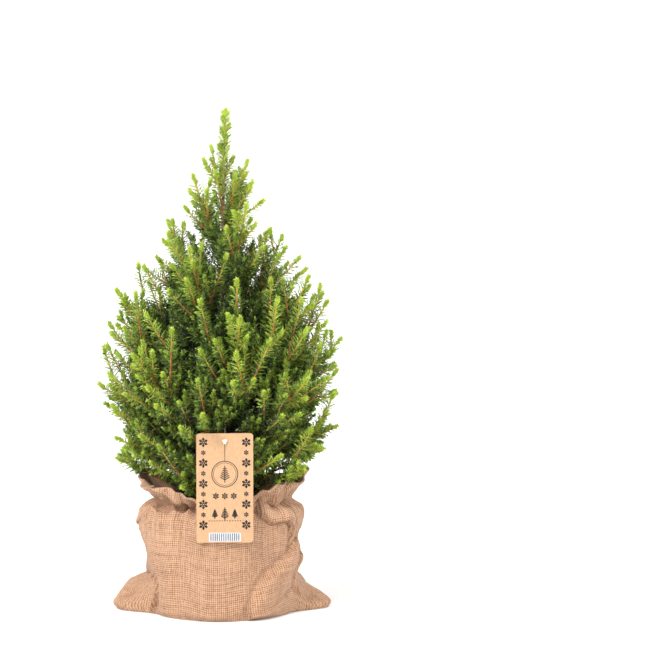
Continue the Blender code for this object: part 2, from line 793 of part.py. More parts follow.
def make_string(parts):
    """Cotton string: a knot in front of the tag, a run back through its hole and a ring round the trunk."""
    cotton = make_material("cotton_string", "F4EFE2", 0.85)
    hole_height = TAG_BOTTOM + TAG_HEIGHT - TAG_HOLE_DROP
    ring_height = string_ring_height()
    centre = trunk_centre(ring_height)
    ring_radius = trunk_radius(ring_height) + CLEARANCE + STRING_RADIUS
    knot_y = TAG_FRONT - KNOT_SEAT
    front = Vector((TAG_CENTRE_X, knot_y, hole_height))
    behind = Vector((TAG_CENTRE_X, TAG_FRONT + 5.0, hole_height))
    end = Vector((centre.x, centre.y - ring_radius, ring_height))
    steps = 4
    points = [front, behind]
    for i in range(1, steps + 1):
        u = i / steps
        sag = Vector((0.0, 0.0, -STRING_SAG * math.sin(math.pi * u)))
        points.append(behind.lerp(end, u) + sag)
    run = add_object(tube_solid(points, [STRING_RADIUS] * len(points), 6), "tag_string", parts, cotton)
    pieces = new_collection("string_pieces")
    ring_points = 10
    loop = bmesh.new()
    rings = []
    for i in range(ring_points):
        angle = 2.0 * math.pi * i / ring_points
        out = Vector((math.cos(angle), math.sin(angle), 0.0))
        ring = []
        for k in range(6):
            around = 2.0 * math.pi * k / 6
            offset = out * math.cos(around) + Vector((0.0, 0.0, math.sin(around)))
            ring.append(loop.verts.new(centre + out * (ring_radius + 0.25) + offset * STRING_RADIUS))
        rings.append(ring)
    bridge_rings(loop, rings + [rings[0]])
    bmesh.ops.recalc_face_normals(loop, faces=loop.faces)
    add_object(loop, "string_ring", pieces, cotton)
    knot = bmesh.new()
    bmesh.ops.create_uvsphere(knot, u_segments=8, v_segments=6, radius=KNOT_RADIUS)
    bmesh.ops.scale(knot, vec=(1.0, 0.8, 0.9), verts=knot.verts)
    bmesh.ops.translate(knot, vec=Vector((TAG_CENTRE_X, knot_y, hole_height)), verts=knot.verts)
    add_object(knot, "string_knot", pieces, cotton)
    settle_boolean(run, "UNION", collection=pieces)
    for piece in list(pieces.objects):
        bpy.data.objects.remove(piece, do_unlink=True)
    bpy.data.collections.remove(pieces)


def main():
    """Build every part."""
    clear_scene()
    parts = new_collection("potted_alberta_spruce")
    helpers = new_collection("cutters")
    make_pot(parts)
    make_soil(parts)
    make_sack(parts)
    make_tag(parts)
    make_string(parts)
    make_plant(parts, helpers)


main()
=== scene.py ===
# %% [markdown]
# A young dwarf spruce in a nursery pot, dressed in a burlap sack.
# The plant is half a metre tall. Its solids give the size and the place of every limb, and this
# lesson grows the living surface on them: bark, twigs, about 180,000 needles, cloth and card.
# All lengths are millimetres until a mesh is made, because a gardener and a sewer think in them.

# %% Load the frame
import math
import random

import bpy
import numpy as np
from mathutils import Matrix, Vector, kdtree, noise


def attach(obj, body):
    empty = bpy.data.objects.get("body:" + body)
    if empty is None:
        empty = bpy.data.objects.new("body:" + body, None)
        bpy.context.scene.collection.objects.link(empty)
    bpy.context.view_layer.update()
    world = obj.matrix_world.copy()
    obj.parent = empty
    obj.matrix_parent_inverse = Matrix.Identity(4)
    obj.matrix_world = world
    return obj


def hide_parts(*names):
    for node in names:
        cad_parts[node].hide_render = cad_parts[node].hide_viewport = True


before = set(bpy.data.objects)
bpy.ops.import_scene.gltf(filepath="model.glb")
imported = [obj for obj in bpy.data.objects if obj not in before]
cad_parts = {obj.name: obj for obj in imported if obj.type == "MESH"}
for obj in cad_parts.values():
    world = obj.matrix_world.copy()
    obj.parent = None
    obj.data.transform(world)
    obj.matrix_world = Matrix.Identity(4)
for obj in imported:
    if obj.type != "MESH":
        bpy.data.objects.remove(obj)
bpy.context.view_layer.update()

# %% [markdown]
# Small helpers come first. Colours are chosen by eye as sRGB hex codes, but a renderer adds light
# in linear values, so one function turns the one into the other. A shader node needs three things
# said about it: its settings, the numbers on its sockets and the links into it. The noise, ramp
# and bump that most of the materials share have a function each.

# %% Helpers for numbers, colours and nodes
MM = 0.001


def hex_to_linear(code):
    """Turn an sRGB hex colour into linear red, green, blue and alpha."""
    channels = [int(code[i:i + 2], 16) / 255.0 for i in (0, 2, 4)]
    linear = [c / 12.92 if c <= 0.04045 else ((c + 0.055) / 1.055) ** 2.4 for c in channels]
    return (*linear, 1.0)


def blend(a, b, t):
    """Go from a to b as t goes from 0 to 1."""
    return a + (b - a) * t


def ease(low, high, x):
    """Rise smoothly from 0 to 1 as x goes from low to high."""
    t = np.clip((x - low) / (high - low), 0.0, 1.0)
    return t * t * (3.0 - 2.0 * t)


def unit(vectors):
    """Scale vectors to length one."""
    return vectors / np.maximum(np.linalg.norm(vectors, axis=-1, keepdims=True), 1e-9)


def add_node(material, kind, settings=None, values=None, links=None):
    """Add one shader node, with its settings, its sockets' numbers and the links into them."""
    node = material.node_tree.nodes.new(kind)
    for name, value in (settings or {}).items():
        setattr(node, name, value)
    for socket, value in (values or {}).items():
        node.inputs[socket].default_value = value
    for socket, source in (links or {}).items():
        material.node_tree.links.new(source, node.inputs[socket])
    return node


def start_material(name, roughness, ior):
    """A material with one Principled shader, whose uniform numbers sit on the shader itself."""
    material = bpy.data.materials.new(name)
    material.use_nodes = True
    shader = material.node_tree.nodes["Principled BSDF"]
    shader.inputs["Roughness"].default_value = roughness
    shader.inputs["IOR"].default_value = ior
    shader.inputs["Metallic"].default_value = 0.0
    return material, shader


def object_place(material):
    """The place of a surface point on its own object, to hang noise on."""
    return add_node(material, "ShaderNodeTexCoord").outputs["Object"]


def noise_node(material, size, detail, place, roughness=0.5):
    """Noise with patches about size millimetres across."""
    values = {"Scale": 1.0 / (size * MM), "Detail": detail, "Roughness": roughness}
    return add_node(material, "ShaderNodeTexNoise", values=values, links={"Vector": place}).outputs["Fac"]


def ramp_node(material, factor, *stops):
    """A colour ramp through stops of a position and a hex colour."""
    node = add_node(material, "ShaderNodeValToRGB", links={"Fac": factor})
    elements = node.color_ramp.elements
    for number, (position, code) in enumerate(stops):
        stop = elements[number] if number < 2 else elements.new(position)
        stop.position = position
        stop.color = hex_to_linear(code)
    return node.outputs["Color"]


def shaded(material, colour, factor):
    """A colour times a factor."""
    node = add_node(material, "ShaderNodeMix", values={"Factor": 1.0}, links={6: colour, 7: factor},
                    settings={"data_type": "RGBA", "blend_type": "MULTIPLY"})
    return node.outputs[2]


def finish_material(material, shader, colour, height, strength, relief):
    """Give the shader its colour, and a bump of relief millimetres from a height."""
    bump = add_node(material, "ShaderNodeBump", values={"Strength": strength, "Distance": relief * MM},
                    links={"Height": height})
    material.node_tree.links.new(colour, shader.inputs["Base Color"])
    material.node_tree.links.new(bump.outputs["Normal"], shader.inputs["Normal"])
    return material


def two_tone_material(name, dark, light, roughness, ior, grain, relief):
    """A surface that drifts between two near colours, with a fine bump of the same grain."""
    material, shader = start_material(name, roughness, ior)
    drift = noise_node(material, grain, 3.0, object_place(material))
    tone = ramp_node(material, drift, (0.35, dark), (0.65, light))
    return finish_material(material, shader, tone, drift, 0.4, relief)


def profile_mesh(name, profile):
    """A mesh of one line, from points that are each a distance from the axis and a height."""
    points = [(out, 0.0, height) for out, height in profile]
    mesh = bpy.data.meshes.new(name)
    mesh.from_pydata(points, [(i, i + 1) for i in range(len(points) - 1)], [])
    return mesh


def turn_round(thing, steps, weld):
    """Turn a profile once round the upright axis."""
    turn = thing.modifiers.new("turn", "SCREW")
    turn.steps = turn.render_steps = steps
    turn.use_merge_vertices = True
    turn.merge_threshold = weld
    turn.use_smooth_shade = True
    return turn


print("helpers ready, one unit is", MM, "metres")

# %% [markdown]
# The camera stands where the photographer stood: almost two metres in front of the plant and a
# little above its middle, with a long lens. The plant isn't in the middle of the picture, so the
# camera turns a few degrees to the right and down instead of shifting its lens.

# %% Camera
CAMERA_DISTANCE = 1950.0
CAMERA_HEIGHT = 360.0
FRAME_PIXELS = 645.0
FOCAL_PIXELS = 1857.0
HORIZON_ROW = 265.6
PLANT_COLUMN = 222.0
SENSOR = 36.0

camera_data = bpy.data.cameras.new("camera")
camera_data.sensor_width = SENSOR
camera_data.lens = SENSOR * FOCAL_PIXELS / FRAME_PIXELS
camera = bpy.data.objects.new("camera", camera_data)
bpy.context.scene.collection.objects.link(camera)
middle_pixel = FRAME_PIXELS / 2.0
pitch_down = math.atan((middle_pixel - HORIZON_ROW) / FOCAL_PIXELS)
turn_right = math.atan((middle_pixel - PLANT_COLUMN) / FOCAL_PIXELS)
camera.location = Vector((0.0, -CAMERA_DISTANCE, CAMERA_HEIGHT)) * MM
camera.rotation_euler = (math.pi / 2.0 - pitch_down, 0.0, -turn_right)
bpy.context.scene.camera = camera
print("lens", round(camera_data.lens, 1), "mm, turned", round(math.degrees(turn_right), 2), "degrees")

# %% [markdown]
# A product photograph on white is taken in a round white cove: floor and wall are one sheet with
# a wide curve between them, so no horizon shows from any side. It is a turned profile. The light
# is a bright even sky with a soft box high on the left, weak ones in front on the right and
# behind, and four more that keep the wall white. A display transform that leaves colours alone
# suits it, because pure white should stay pure white.

# %% Cove and lights
COVE_RADIUS = 3.4
COVE_CURVE = 1.1
COVE_HEIGHT = 3.0
COVE_STEPS = 96
SKY_STRENGTH = 0.26
SOFT_BOXES = (
    ("key", (-1.0, -1.6, 1.9), (0.0, 0.0, 0.25), 0.6, 48.0),
    ("fill", (1.6, -1.5, 1.0), (0.0, 0.0, 0.2), 1.2, 6.0),
    ("back", (0.5, 1.8, 1.5), (0.0, 0.0, 0.3), 1.2, 10.0),
)
WALL_BOX_POWER = 46.0


def make_cove():
    """A round white floor that curves up into a wall."""
    flat = COVE_RADIUS - COVE_CURVE
    turns = [math.radians(90.0 * i / 12) for i in range(1, 13)]
    profile = [(0.0, 0.0), (flat, 0.0)]
    for turn in turns:
        profile.append((flat + COVE_CURVE * math.sin(turn), COVE_CURVE - COVE_CURVE * math.cos(turn)))
    profile.append((COVE_RADIUS, COVE_HEIGHT))
    cove = bpy.data.objects.new("cove", profile_mesh("cove", profile))
    bpy.context.scene.collection.objects.link(cove)
    turn_round(cove, COVE_STEPS, 0.0001)
    paper, shader = start_material("white_cove_paper", 0.9, 1.45)
    shader.inputs["Base Color"].default_value = hex_to_linear("F4F4F4")
    cove.data.materials.append(paper)


def add_soft_box(name, place, aim, size, power):
    """A square area light that looks at a point."""
    data = bpy.data.lights.new(name, "AREA")
    data.shape = "SQUARE"
    data.size = size
    data.energy = power
    lamp = bpy.data.objects.new(name, data)
    lamp.location = place
    lamp.rotation_euler = (Vector(place) - Vector(aim)).to_track_quat("Z", "Y").to_euler()
    bpy.context.scene.collection.objects.link(lamp)


make_cove()
for soft_box in SOFT_BOXES:
    add_soft_box(*soft_box)
for quarter in range(4):
    turn = math.radians(45.0 + 90.0 * quarter)
    way = Vector((math.cos(turn), math.sin(turn), 0.0))
    stand = way * 1.3 + Vector((0.0, 0.0, 2.2))
    add_soft_box(f"wall_{quarter + 1}", stand, way * 3.2 + Vector((0.0, 0.0, 0.9)), 1.0, WALL_BOX_POWER)
world = bpy.data.worlds.new("white_sky")
world.use_nodes = True
sky = world.node_tree.nodes["Background"].inputs
sky["Color"].default_value = (1.0, 1.0, 1.0, 1.0)
sky["Strength"].default_value = SKY_STRENGTH
bpy.context.scene.world = world
bpy.context.scene.view_settings.view_transform = "Standard"
print("cove", COVE_RADIUS, "m, soft boxes on the plant:", len(SOFT_BOXES))

# %% [markdown]
# The plant follows one rule, the same one that its solids follow. Limbs climb the trunk at the
# golden angle, each a bowed curve from the trunk to a tip on the crown's outline, steeper the
# higher it stands. The sizes below are the plant's own, in millimetres and degrees.

# %% The plant's sizes
POT_HEIGHT = 106.0
POT_FLOOR = 2.9
POT_TOP_RADIUS = 66.0
POT_FOOT_RADIUS = 50.0
POT_WALL = 1.6
POT_RIM_DROP = 14.0
POT_RIM_STEP = 2.4
SOIL_TOP = 102.0
CLEARANCE = 0.3

TRUNK_TOP = 468.0
TRUNK_FOOT_RADIUS = 6.2
TRUNK_TOP_RADIUS = 1.1
ROOT_FLARE = 3.6
ROOT_FLARE_HEIGHT = 9.0
TRUNK_LEAN = 4.0
TRUNK_SWAY = 1.6
ROOT_FLUTES = 5
FLUTE_DEPTH = 0.22

CROWN_TOP = 527.0
CROWN_OUTLINE = (
    (122.0, 84.0), (135.0, 96.0), (165.0, 115.0), (200.0, 128.0), (245.0, 133.0), (290.0, 127.0),
    (335.0, 115.0), (365.0, 93.0), (405.0, 64.0), (450.0, 40.0), (488.0, 19.0), (504.0, 11.0),
    (527.0, 7.0),
)

LIMB_COUNT = 32
LEADER = LIMB_COUNT
BOUGH_COUNT = 18
LOWEST_TIP = 134.0
HIGHEST_TIP = 488.0
FIRST_AZIMUTH = 186.0
GOLDEN_ANGLE = 137.508
LOW_ANGLE = 72.0
HIGH_ANGLE = 20.0
ANGLE_EASE = 0.55
LOWEST_ROOT = 112.0
ROOT_STEP = 3.2
TIP_CROWDING = 1.42
LIMB_BOW = 0.12
BOUGH_ROOT_RADIUS = 2.3
BOUGH_SHARE = 0.34
TIP_OVER_HEM = 20.0
STEM_RADIUS = 1.9

SIDE_SHOOTS = 10
SIDE_ANGLE = 40.0
SIDE_LIFT = 0.3
SIDE_SHARE = 0.9
SIDE_INSET = 7.0
SIDE_RADIUS = 1.35
SHORTEST_SIDE = 12.0
TRIM_STEP = 2.0
BUD_LENGTH = 5.5
UPTURN = 0.16

HEM_FRONT = 121.0
HEM_SIDE_RISE = 22.0
HEM_BACK_RISE = 9.0
HEM_WAVE = 2.2

TAG_WIDTH = 57.0
TAG_HEIGHT = 110.0
TAG_HOLE_DROP = 8.0
TAG_BOTTOM = 82.0
TAG_TOP = TAG_BOTTOM + TAG_HEIGHT
HOLE_HEIGHT = TAG_TOP - TAG_HOLE_DROP
TAG_CENTRE_X = 2.5
TAG_FRONT = -91.0
BEHIND_TAG = 9.0
TAG_SHADOW = 40.0
FACES_FRONT = -0.72
STRING_LOWEST = 202.0
STRING_HIGHEST = 212.0
STRING_SAG = 2.5
print("crown", CROWN_TOP - SOIL_TOP, "mm tall over the soil, with", LIMB_COUNT, "limbs and a leader")

# %% [markdown]
# These functions say where the trunk's middle is, how far the crown reaches at a height, and how
# each limb runs. They take single numbers or whole arrays, because the needles come in thousands
# and one call for all of them is many times faster than a loop.

# %% Trunk and limbs as functions


def crown_reach(height):
    """Radius of the crown's outline at a height."""
    heights, reaches = zip(*CROWN_OUTLINE)
    return np.interp(height, heights, reaches)


def trunk_centre(height):
    """Middle of the trunk at a height: a slight lean with a slow sway."""
    u = (height - SOIL_TOP) / (CROWN_TOP - SOIL_TOP)
    x = TRUNK_LEAN * u + TRUNK_SWAY * np.sin(2.0 * np.pi * u)
    y = TRUNK_SWAY * np.sin(1.4 * np.pi * u)
    return np.stack([x, y, height + 0.0 * u], axis=-1)


def trunk_radius(height):
    """Radius of the trunk at a height, with the root flare at its foot."""
    u = np.clip((height - SOIL_TOP) / (TRUNK_TOP - SOIL_TOP), 0.0, 1.0)
    taper = blend(TRUNK_FOOT_RADIUS, TRUNK_TOP_RADIUS, u ** 0.85)
    return taper + ROOT_FLARE * np.exp(-(height - SOIL_TOP) / ROOT_FLARE_HEIGHT)


def sack_rim_height(angle):
    """Height of the sack's hem round the plant: it stands up at the sides and dips in front."""
    side = np.cos(angle) ** 2
    back = np.maximum(np.sin(angle), 0.0)
    rise = HEM_SIDE_RISE * side ** 1.5 + HEM_BACK_RISE * back
    return HEM_FRONT + rise + HEM_WAVE * np.sin(5.0 * angle + 0.6)


def limb_slope(share):
    """Angle between a limb and the upright, from share 0 for the lowest tip to 1 for the highest."""
    return math.radians(LOW_ANGLE - (LOW_ANGLE - HIGH_ANGLE) * share ** ANGLE_EASE)


def limb_ends(index):
    """Root, middle control point and tip of a limb."""
    u = index / (LIMB_COUNT - 1)
    azimuth = math.radians(FIRST_AZIMUTH + GOLDEN_ANGLE * index)
    over_hem = float(sack_rim_height(azimuth)) + TIP_OVER_HEM
    tip_height = max(blend(LOWEST_TIP, HIGHEST_TIP, u ** TIP_CROWDING), over_hem)
    reach = float(crown_reach(tip_height))
    if math.sin(azimuth) < FACES_FRONT and tip_height < TAG_TOP + TAG_SHADOW:
        reach = min(reach, -TAG_FRONT - BEHIND_TAG)
    slope = limb_slope((tip_height - LOWEST_TIP) / (HIGHEST_TIP - LOWEST_TIP))
    root_height = max(tip_height - reach / math.tan(slope), LOWEST_ROOT + ROOT_STEP * index)
    root = trunk_centre(root_height)
    tip = np.array((reach * math.cos(azimuth), reach * math.sin(azimuth), tip_height))
    across = np.array((tip[0] - root[0], tip[1] - root[1], 0.0))
    rise = np.array((0.0, 0.0, (tip_height - root_height) * (0.5 - LIMB_BOW)))
    return root, root + across * 0.5 + rise, tip


def leader_ends():
    """The leading shoot, which carries the trunk on to the top of the crown."""
    root = trunk_centre(TRUNK_TOP + CLEARANCE)
    tip = trunk_centre(CROWN_TOP - 2.0)
    return root, (root + tip) * 0.5, tip


def limb_point(ends, t):
    """Points on a limb, t from 0 at the trunk to 1 at the tip."""
    root, control, tip = ends
    t = np.asarray(t, float)[..., None]
    return root * (1.0 - t) ** 2 + control * (2.0 * t * (1.0 - t)) + tip * t ** 2


limbs = [limb_ends(i) for i in range(LIMB_COUNT)] + [leader_ends()]
print("lowest tip", round(limbs[1][2][2]), "mm, leader's tip", round(limbs[-1][2][2]), "mm")

# %% [markdown]
# Each limb's foliage keeps to its own space: the points that are nearer to that limb than to any
# other, inside the crown's outline and clear of trunk, tag, string, sack and soil. A shoot that
# would leave its space is cut short there, as a shoot that grows into shade stops growing.

# %% The space of each limb
STRETCHES = 10
RIM_GAP = 4.0


class Space:
    """Tells which limb a point is nearest to, and by how much."""

    def __init__(self, all_ends):
        points = np.array([limb_point(limb, np.linspace(0.0, 1.0, STRETCHES + 1)) for limb in all_ends])
        self.starts = points[:, :-1].reshape(-1, 3)
        self.spans = points[:, 1:].reshape(-1, 3) - self.starts
        self.lengths = np.maximum((self.spans ** 2).sum(axis=1), 1e-9)
        self.owners = np.repeat(np.arange(len(all_ends)), STRETCHES)

    def gaps(self, points):
        """Distance of each point from each stretch of limb."""
        offsets = points[:, None, :] - self.starts[None, :, :]
        along = np.einsum("ijk,jk->ij", offsets, self.spans) / self.lengths
        offsets -= self.spans[None, :, :] * np.clip(along, 0.0, 1.0)[:, :, None]
        return np.sqrt((offsets ** 2).sum(axis=2))

    def own_gap(self, points, owner):
        """Distance of each point from its own limb."""
        return self.gaps(points)[:, self.owners == owner].min(axis=1)

    def room(self, points, owner):
        """How much nearer each point is to its own limb than to the next one."""
        gaps = self.gaps(points)
        mine = self.owners == owner
        return gaps[:, ~mine].min(axis=1) - gaps[:, mine].min(axis=1)

    def owner_of(self, points):
        """The limb whose space each point lies in."""
        return np.argmax([self.room(points, owner) for owner in range(LEADER + 1)], axis=0)


def clear_of_fixed(points, margin, rim_gap=RIM_GAP):
    """True where points keep their distance from trunk, string, tag, sack and soil."""
    x, y, z = points.T
    axis = trunk_centre(z)
    from_axis = np.hypot(x - axis[:, 0], y - axis[:, 1])
    ok = (z > TRUNK_TOP + 4.0) | (from_axis > trunk_radius(z) + margin + 0.4)
    near_string = (abs(x - TAG_CENTRE_X) < 4.0 + margin) & (y < 12.0)
    share = np.clip(y / TAG_FRONT, 0.0, 1.0)
    near_string &= z > blend(STRING_LOWEST, HOLE_HEIGHT, share) - STRING_SAG - 2.0 - margin
    near_string &= z < blend(STRING_HIGHEST, HOLE_HEIGHT, share) + 1.0 + margin
    beside_tag = abs(x - TAG_CENTRE_X) < TAG_WIDTH / 2.0 + 3.0
    near_tag = beside_tag & (y < TAG_FRONT + 4.0 + margin) & (z < TAG_TOP + 3.0)
    rim = sack_rim_height(np.arctan2(y, x))
    under_rim = (np.hypot(x, y) > 50.0) & (z < rim + rim_gap + margin)
    return ok & ~near_string & ~near_tag & ~under_rim & (z > SOIL_TOP + 8.0 + margin)


space = Space(limbs)
print("the space is told by", len(space.owners), "stretches of limb")

# %% [markdown]
# A spruce branches in a fixed way: side shoots leave a stem at about forty degrees, each turned
# by the golden angle from the last, longest near the foot of the stem. The first order of side
# shoots repeats the solids' seeded rule draw for draw, so each one lies where its solid lies.
# Finer orders then grow on by the same rule, and short inner shoots clothe the boughs and the
# trunk. The finer ones reach less far out the further they lie from their own limb, so the
# crown's edge falls into lobes with notches of sky between them. Slim steep shoots stand round
# the top of the trunk, and the lowest limbs carry hanging shoots, which come down to the cloth.

# %% The rule for shoots
PATH_STEP = 4.0
OWN_ROOM = 1.2
INTERLACE = -16.0
INSET = 14.0
TIP_INSET = 2.0
LOBE = 0.55
LOBE_CORE = 7.0
HIGH_LOBE = 1.7
HIGH_LOBE_HEIGHTS = (250.0, 350.0)
TRUNK_SHOOT_TOP = 375.0
THIN_CROWN = 340.0
LEADER_FOOT = 378.0
SKIRT_TOP = 215.0
SKIRT_LIFT = -0.45
SKIRT_GAP = -1.0
UP = np.array((0.0, 0.0, 1.0))
LEVEL = np.array((1.0, 0.0, 0.0))

# How side shoots stand on a piece of wood: spacing, length as a share of the wood beyond them,
# shortest and longest, and how much of the wood's foot stays bare.
ON_BOUGH = (7.0, 0.95, 20.0, 60.0, 2.0)
ON_SIDE_SHOOT = (20.0, 0.6, 11.0, 26.0, 9.0)
ON_HIGH_SIDE_SHOOT = (36.0, 0.6, 11.0, 26.0, 9.0)
ON_STEM = (20.0, 0.4, 10.0, 28.0, 9.0)
ON_LOW_LIMB = (3.8, 0.8, 12.0, 38.0, 1.0)
ON_LEADER = (6.5, 0.3, 8.0, 11.0, 3.0)

shoots = []


def add_shoots(paths, owner, order):
    """Note shoots with their limb and their order, from 0 for a stem to 3 for an inner shoot."""
    shoots.extend({"path": path, "owner": int(owner), "order": order} for path in paths if path is not None)


def trimmed_path(start, heading, length, owner, shortest, least_room, inset, lobe=0.0, rim_gap=RIM_GAP):
    """A slightly upturned path, cut short where it would leave its space; None if too little is left."""
    def along(s):
        s = np.asarray(s, float)[:, None]
        return start + heading * s + UP * (UPTURN * s * s / length)

    s = TRIM_STEP * np.arange(1, math.ceil(length / TRIM_STEP) + 1)
    points = along(s)
    ahead = points + heading * BUD_LENGTH
    reach = crown_reach(ahead[:, 2]) - inset
    if lobe:
        steeper = lobe * (1.0 + HIGH_LOBE * ease(*HIGH_LOBE_HEIGHTS, ahead[:, 2]))
        reach = reach - steeper * np.maximum(space.own_gap(ahead, owner) - LOBE_CORE, 0.0)
    bad = np.hypot(ahead[:, 0], ahead[:, 1]) > reach
    bad |= ahead[:, 2] > CROWN_TOP
    bad |= space.room(ahead, owner) < least_room
    bad |= (space.room(points, owner) < least_room) & (s > 4.0 + TRIM_STEP)
    bad |= ~clear_of_fixed(points, SIDE_RADIUS + 0.6, rim_gap) | ~clear_of_fixed(ahead, 1.0, rim_gap)
    good = int(np.argmax(bad)) if bad.any() else len(s)
    run = good * TRIM_STEP
    if run < shortest:
        return None
    return along(np.linspace(0.0, run, max(3, round(run / PATH_STEP) + 1)))


def side_heading(ahead, roll, spread, lift):
    """The heading of a side shoot that leaves a stem at an angle, turned round it by roll."""
    level = np.cross(ahead, UP)
    level = unit(level) if np.linalg.norm(level) > 0.05 else LEVEL
    upward = np.cross(level, ahead)
    out = level * math.cos(roll) + upward * math.sin(roll)
    return unit(ahead * math.cos(spread) + out * math.sin(spread) + UP * lift)


def first_order(index, ends, first):
    """The seeded rule that the solids follow: side shoots on the outer part of a limb."""
    rng = random.Random(500 + index)
    phase = rng.uniform(0.0, 360.0)
    stem_length = float(np.linalg.norm(limb_point(ends, 1.0) - limb_point(ends, first)))
    for j in range(SIDE_SHOOTS):
        along = blend(0.03, 0.85, j / (SIDE_SHOOTS - 1))
        length = stem_length * (1.0 - along) * SIDE_SHARE * rng.uniform(0.8, 1.1)
        length = max(length, SHORTEST_SIDE)
        spread = math.radians(SIDE_ANGLE + rng.uniform(-6.0, 6.0))
        roll = math.radians(phase + GOLDEN_ANGLE * j + rng.uniform(-14.0, 14.0))
        t = blend(first, 1.0, along)
        ahead = unit(limb_point(ends, min(t + 0.04, 1.0)) - limb_point(ends, t - 0.04))
        heading = side_heading(ahead, roll, spread, SIDE_LIFT)
        yield trimmed_path(limb_point(ends, t), heading, length, index, SHORTEST_SIDE, OWN_ROOM, SIDE_INSET)


def path_length(path):
    """Length of a path of points."""
    return float(np.linalg.norm(np.diff(path, axis=0), axis=1).sum())


def point_on(path, s):
    """Points at the distances s along a path, and the way ahead at each."""
    steps = np.linalg.norm(np.diff(path, axis=0), axis=1)
    marks = np.concatenate([[0.0], np.cumsum(steps)])
    points = np.stack([np.interp(s, marks, path[:, k]) for k in range(3)], axis=-1)
    part = np.clip(np.searchsorted(marks, s, side="right") - 1, 0, len(steps) - 1)
    return points, unit(np.diff(path, axis=0))[part]


def finer_shoots(path, owner, kind, rng, inset=INSET, lift=SIDE_LIFT):
    """Side shoots of the next order along a path."""
    every, share, shortest, longest, bare_foot = kind
    gap = RIM_GAP if lift > 0.0 else SKIRT_GAP
    length = path_length(path)
    roll = rng.uniform(0.0, 2.0 * math.pi)
    s = bare_foot + rng.uniform(0.0, every)
    while s < length - 5.0:
        reach = share * (length - s) * rng.uniform(0.75, 1.25)
        reach = min(max(reach, shortest), longest)
        spread = math.radians(SIDE_ANGLE + rng.uniform(-8.0, 6.0))
        root, ahead = point_on(path, np.array([s]))
        heading = side_heading(ahead[0], roll, spread, lift)
        yield trimmed_path(root[0], heading, reach, owner, shortest * 0.8, INTERLACE, inset, LOBE, gap)
        roll += math.radians(GOLDEN_ANGLE) + rng.uniform(-0.25, 0.25)
        s += every * rng.uniform(0.8, 1.2)


def outward_heading(out, rng):
    """Out from the trunk and somewhat up."""
    return unit(out + UP * 0.75)


def steep_heading(out, rng):
    """Up from the trunk and somewhat out, as the highest limbs stand."""
    slope = math.radians(HIGH_ANGLE + rng.uniform(10.0, 22.0))
    return out * math.sin(slope) + UP * math.cos(slope)


def trunk_shoots(rng, heights, heading_of, look, lengths, shortest, least_room, inset, order):
    """Add shoots on the trunk, each in the space of the limb that it lies nearest to."""
    roll = rng.uniform(0.0, 2.0 * math.pi)
    for height in heights:
        roll += math.radians(GOLDEN_ANGLE)
        out = np.array((math.cos(roll), math.sin(roll), 0.0))
        start = trunk_centre(height) + out * (trunk_radius(height) + 2.5)
        heading = heading_of(out, rng)
        owner = space.owner_of((start + heading * look)[None, :])[0]
        path = trimmed_path(start, heading, rng.uniform(*lengths), owner, shortest, least_room, inset)
        add_shoots([path], owner, order)


print("side shoots stand", ON_BOUGH[0], "mm apart on a bough and", ON_STEM[0], "mm apart on a stem")

# %% [markdown]
# Now the plant grows by that rule. The shoots on the trunk come first, then each limb from its
# stem outwards, then the hanging shoots on the lowest limbs and the short ones that clothe the
# leader. Every limb has its own seeds, so its shoots don't change when another limb's do.

# %% Grow the shoots
trunk_shoots(random.Random(5), np.arange(SOIL_TOP + 12.0, TRUNK_SHOOT_TOP, 4.5), outward_heading,
             look=14.0, lengths=(20.0, 36.0), shortest=10.0, least_room=OWN_ROOM, inset=INSET, order=3)
trunk_shoots(random.Random(6), np.arange(TRUNK_SHOOT_TOP + 8.0, TRUNK_TOP - 6.0, 10.0), steep_heading,
             look=12.0, lengths=(32.0, 62.0), shortest=12.0, least_room=INTERLACE, inset=TIP_INSET, order=1)
for i, ends in enumerate(limbs):
    rng = random.Random(2000 + i)
    first = BOUGH_SHARE if i < BOUGH_COUNT else 0.0
    span = float(np.linalg.norm(ends[2] - ends[0])) * (1.0 - first)
    stem = limb_point(ends, np.linspace(first, 1.0, max(4, round(span / PATH_STEP))))
    stem[-1] = stem[-1] - unit(stem[-1] - stem[-2]) * 3.5
    if i == LEADER:
        stem = np.concatenate([trunk_centre(np.arange(LEADER_FOOT, TRUNK_TOP, 6.0)), stem[1:]])
    add_shoots([stem], i, 0)
    if i < BOUGH_COUNT:
        bough = limb_point(ends, np.linspace(0.08, first, 8))
        add_shoots(finer_shoots(bough, i, ON_BOUGH, rng), i, 3)
    for path in first_order(i, ends, first):
        if path is not None:
            add_shoots([path], i, 1)
            kind = ON_SIDE_SHOOT if path[0][2] < THIN_CROWN else ON_HIGH_SIDE_SHOOT
            add_shoots(finer_shoots(path, i, kind, rng, SIDE_INSET), i, 2)
    add_shoots(finer_shoots(stem, i, ON_STEM, rng, SIDE_INSET), i, 2)
for i, ends in enumerate(limbs):
    if ends[2][2] < SKIRT_TOP:
        low_limb = limb_point(ends, np.linspace(0.12, 0.95, 24))
        hanging = finer_shoots(low_limb, i, ON_LOW_LIMB, random.Random(3000 + i), TIP_INSET, SKIRT_LIFT)
        add_shoots(hanging, i, 2)
leader_stem = limb_point(limbs[LEADER], np.linspace(0.0, 0.8, 12))
add_shoots(finer_shoots(leader_stem, LEADER, ON_LEADER, random.Random(9), -3.0), LEADER, 1)
print(len(shoots), "shoots grown by rule")

# %% [markdown]
# Where the rule leaves a gap deep enough for light to fall in, a real spruce wakes a resting bud
# and a shoot grows into it. So long shoots first grow to bare places on the crown's surface. Then
# the crown is searched inside for points far from every shoot, and for each one, widest gap first,
# a shoot grows to it from the nearest suitable wood of the same limb.

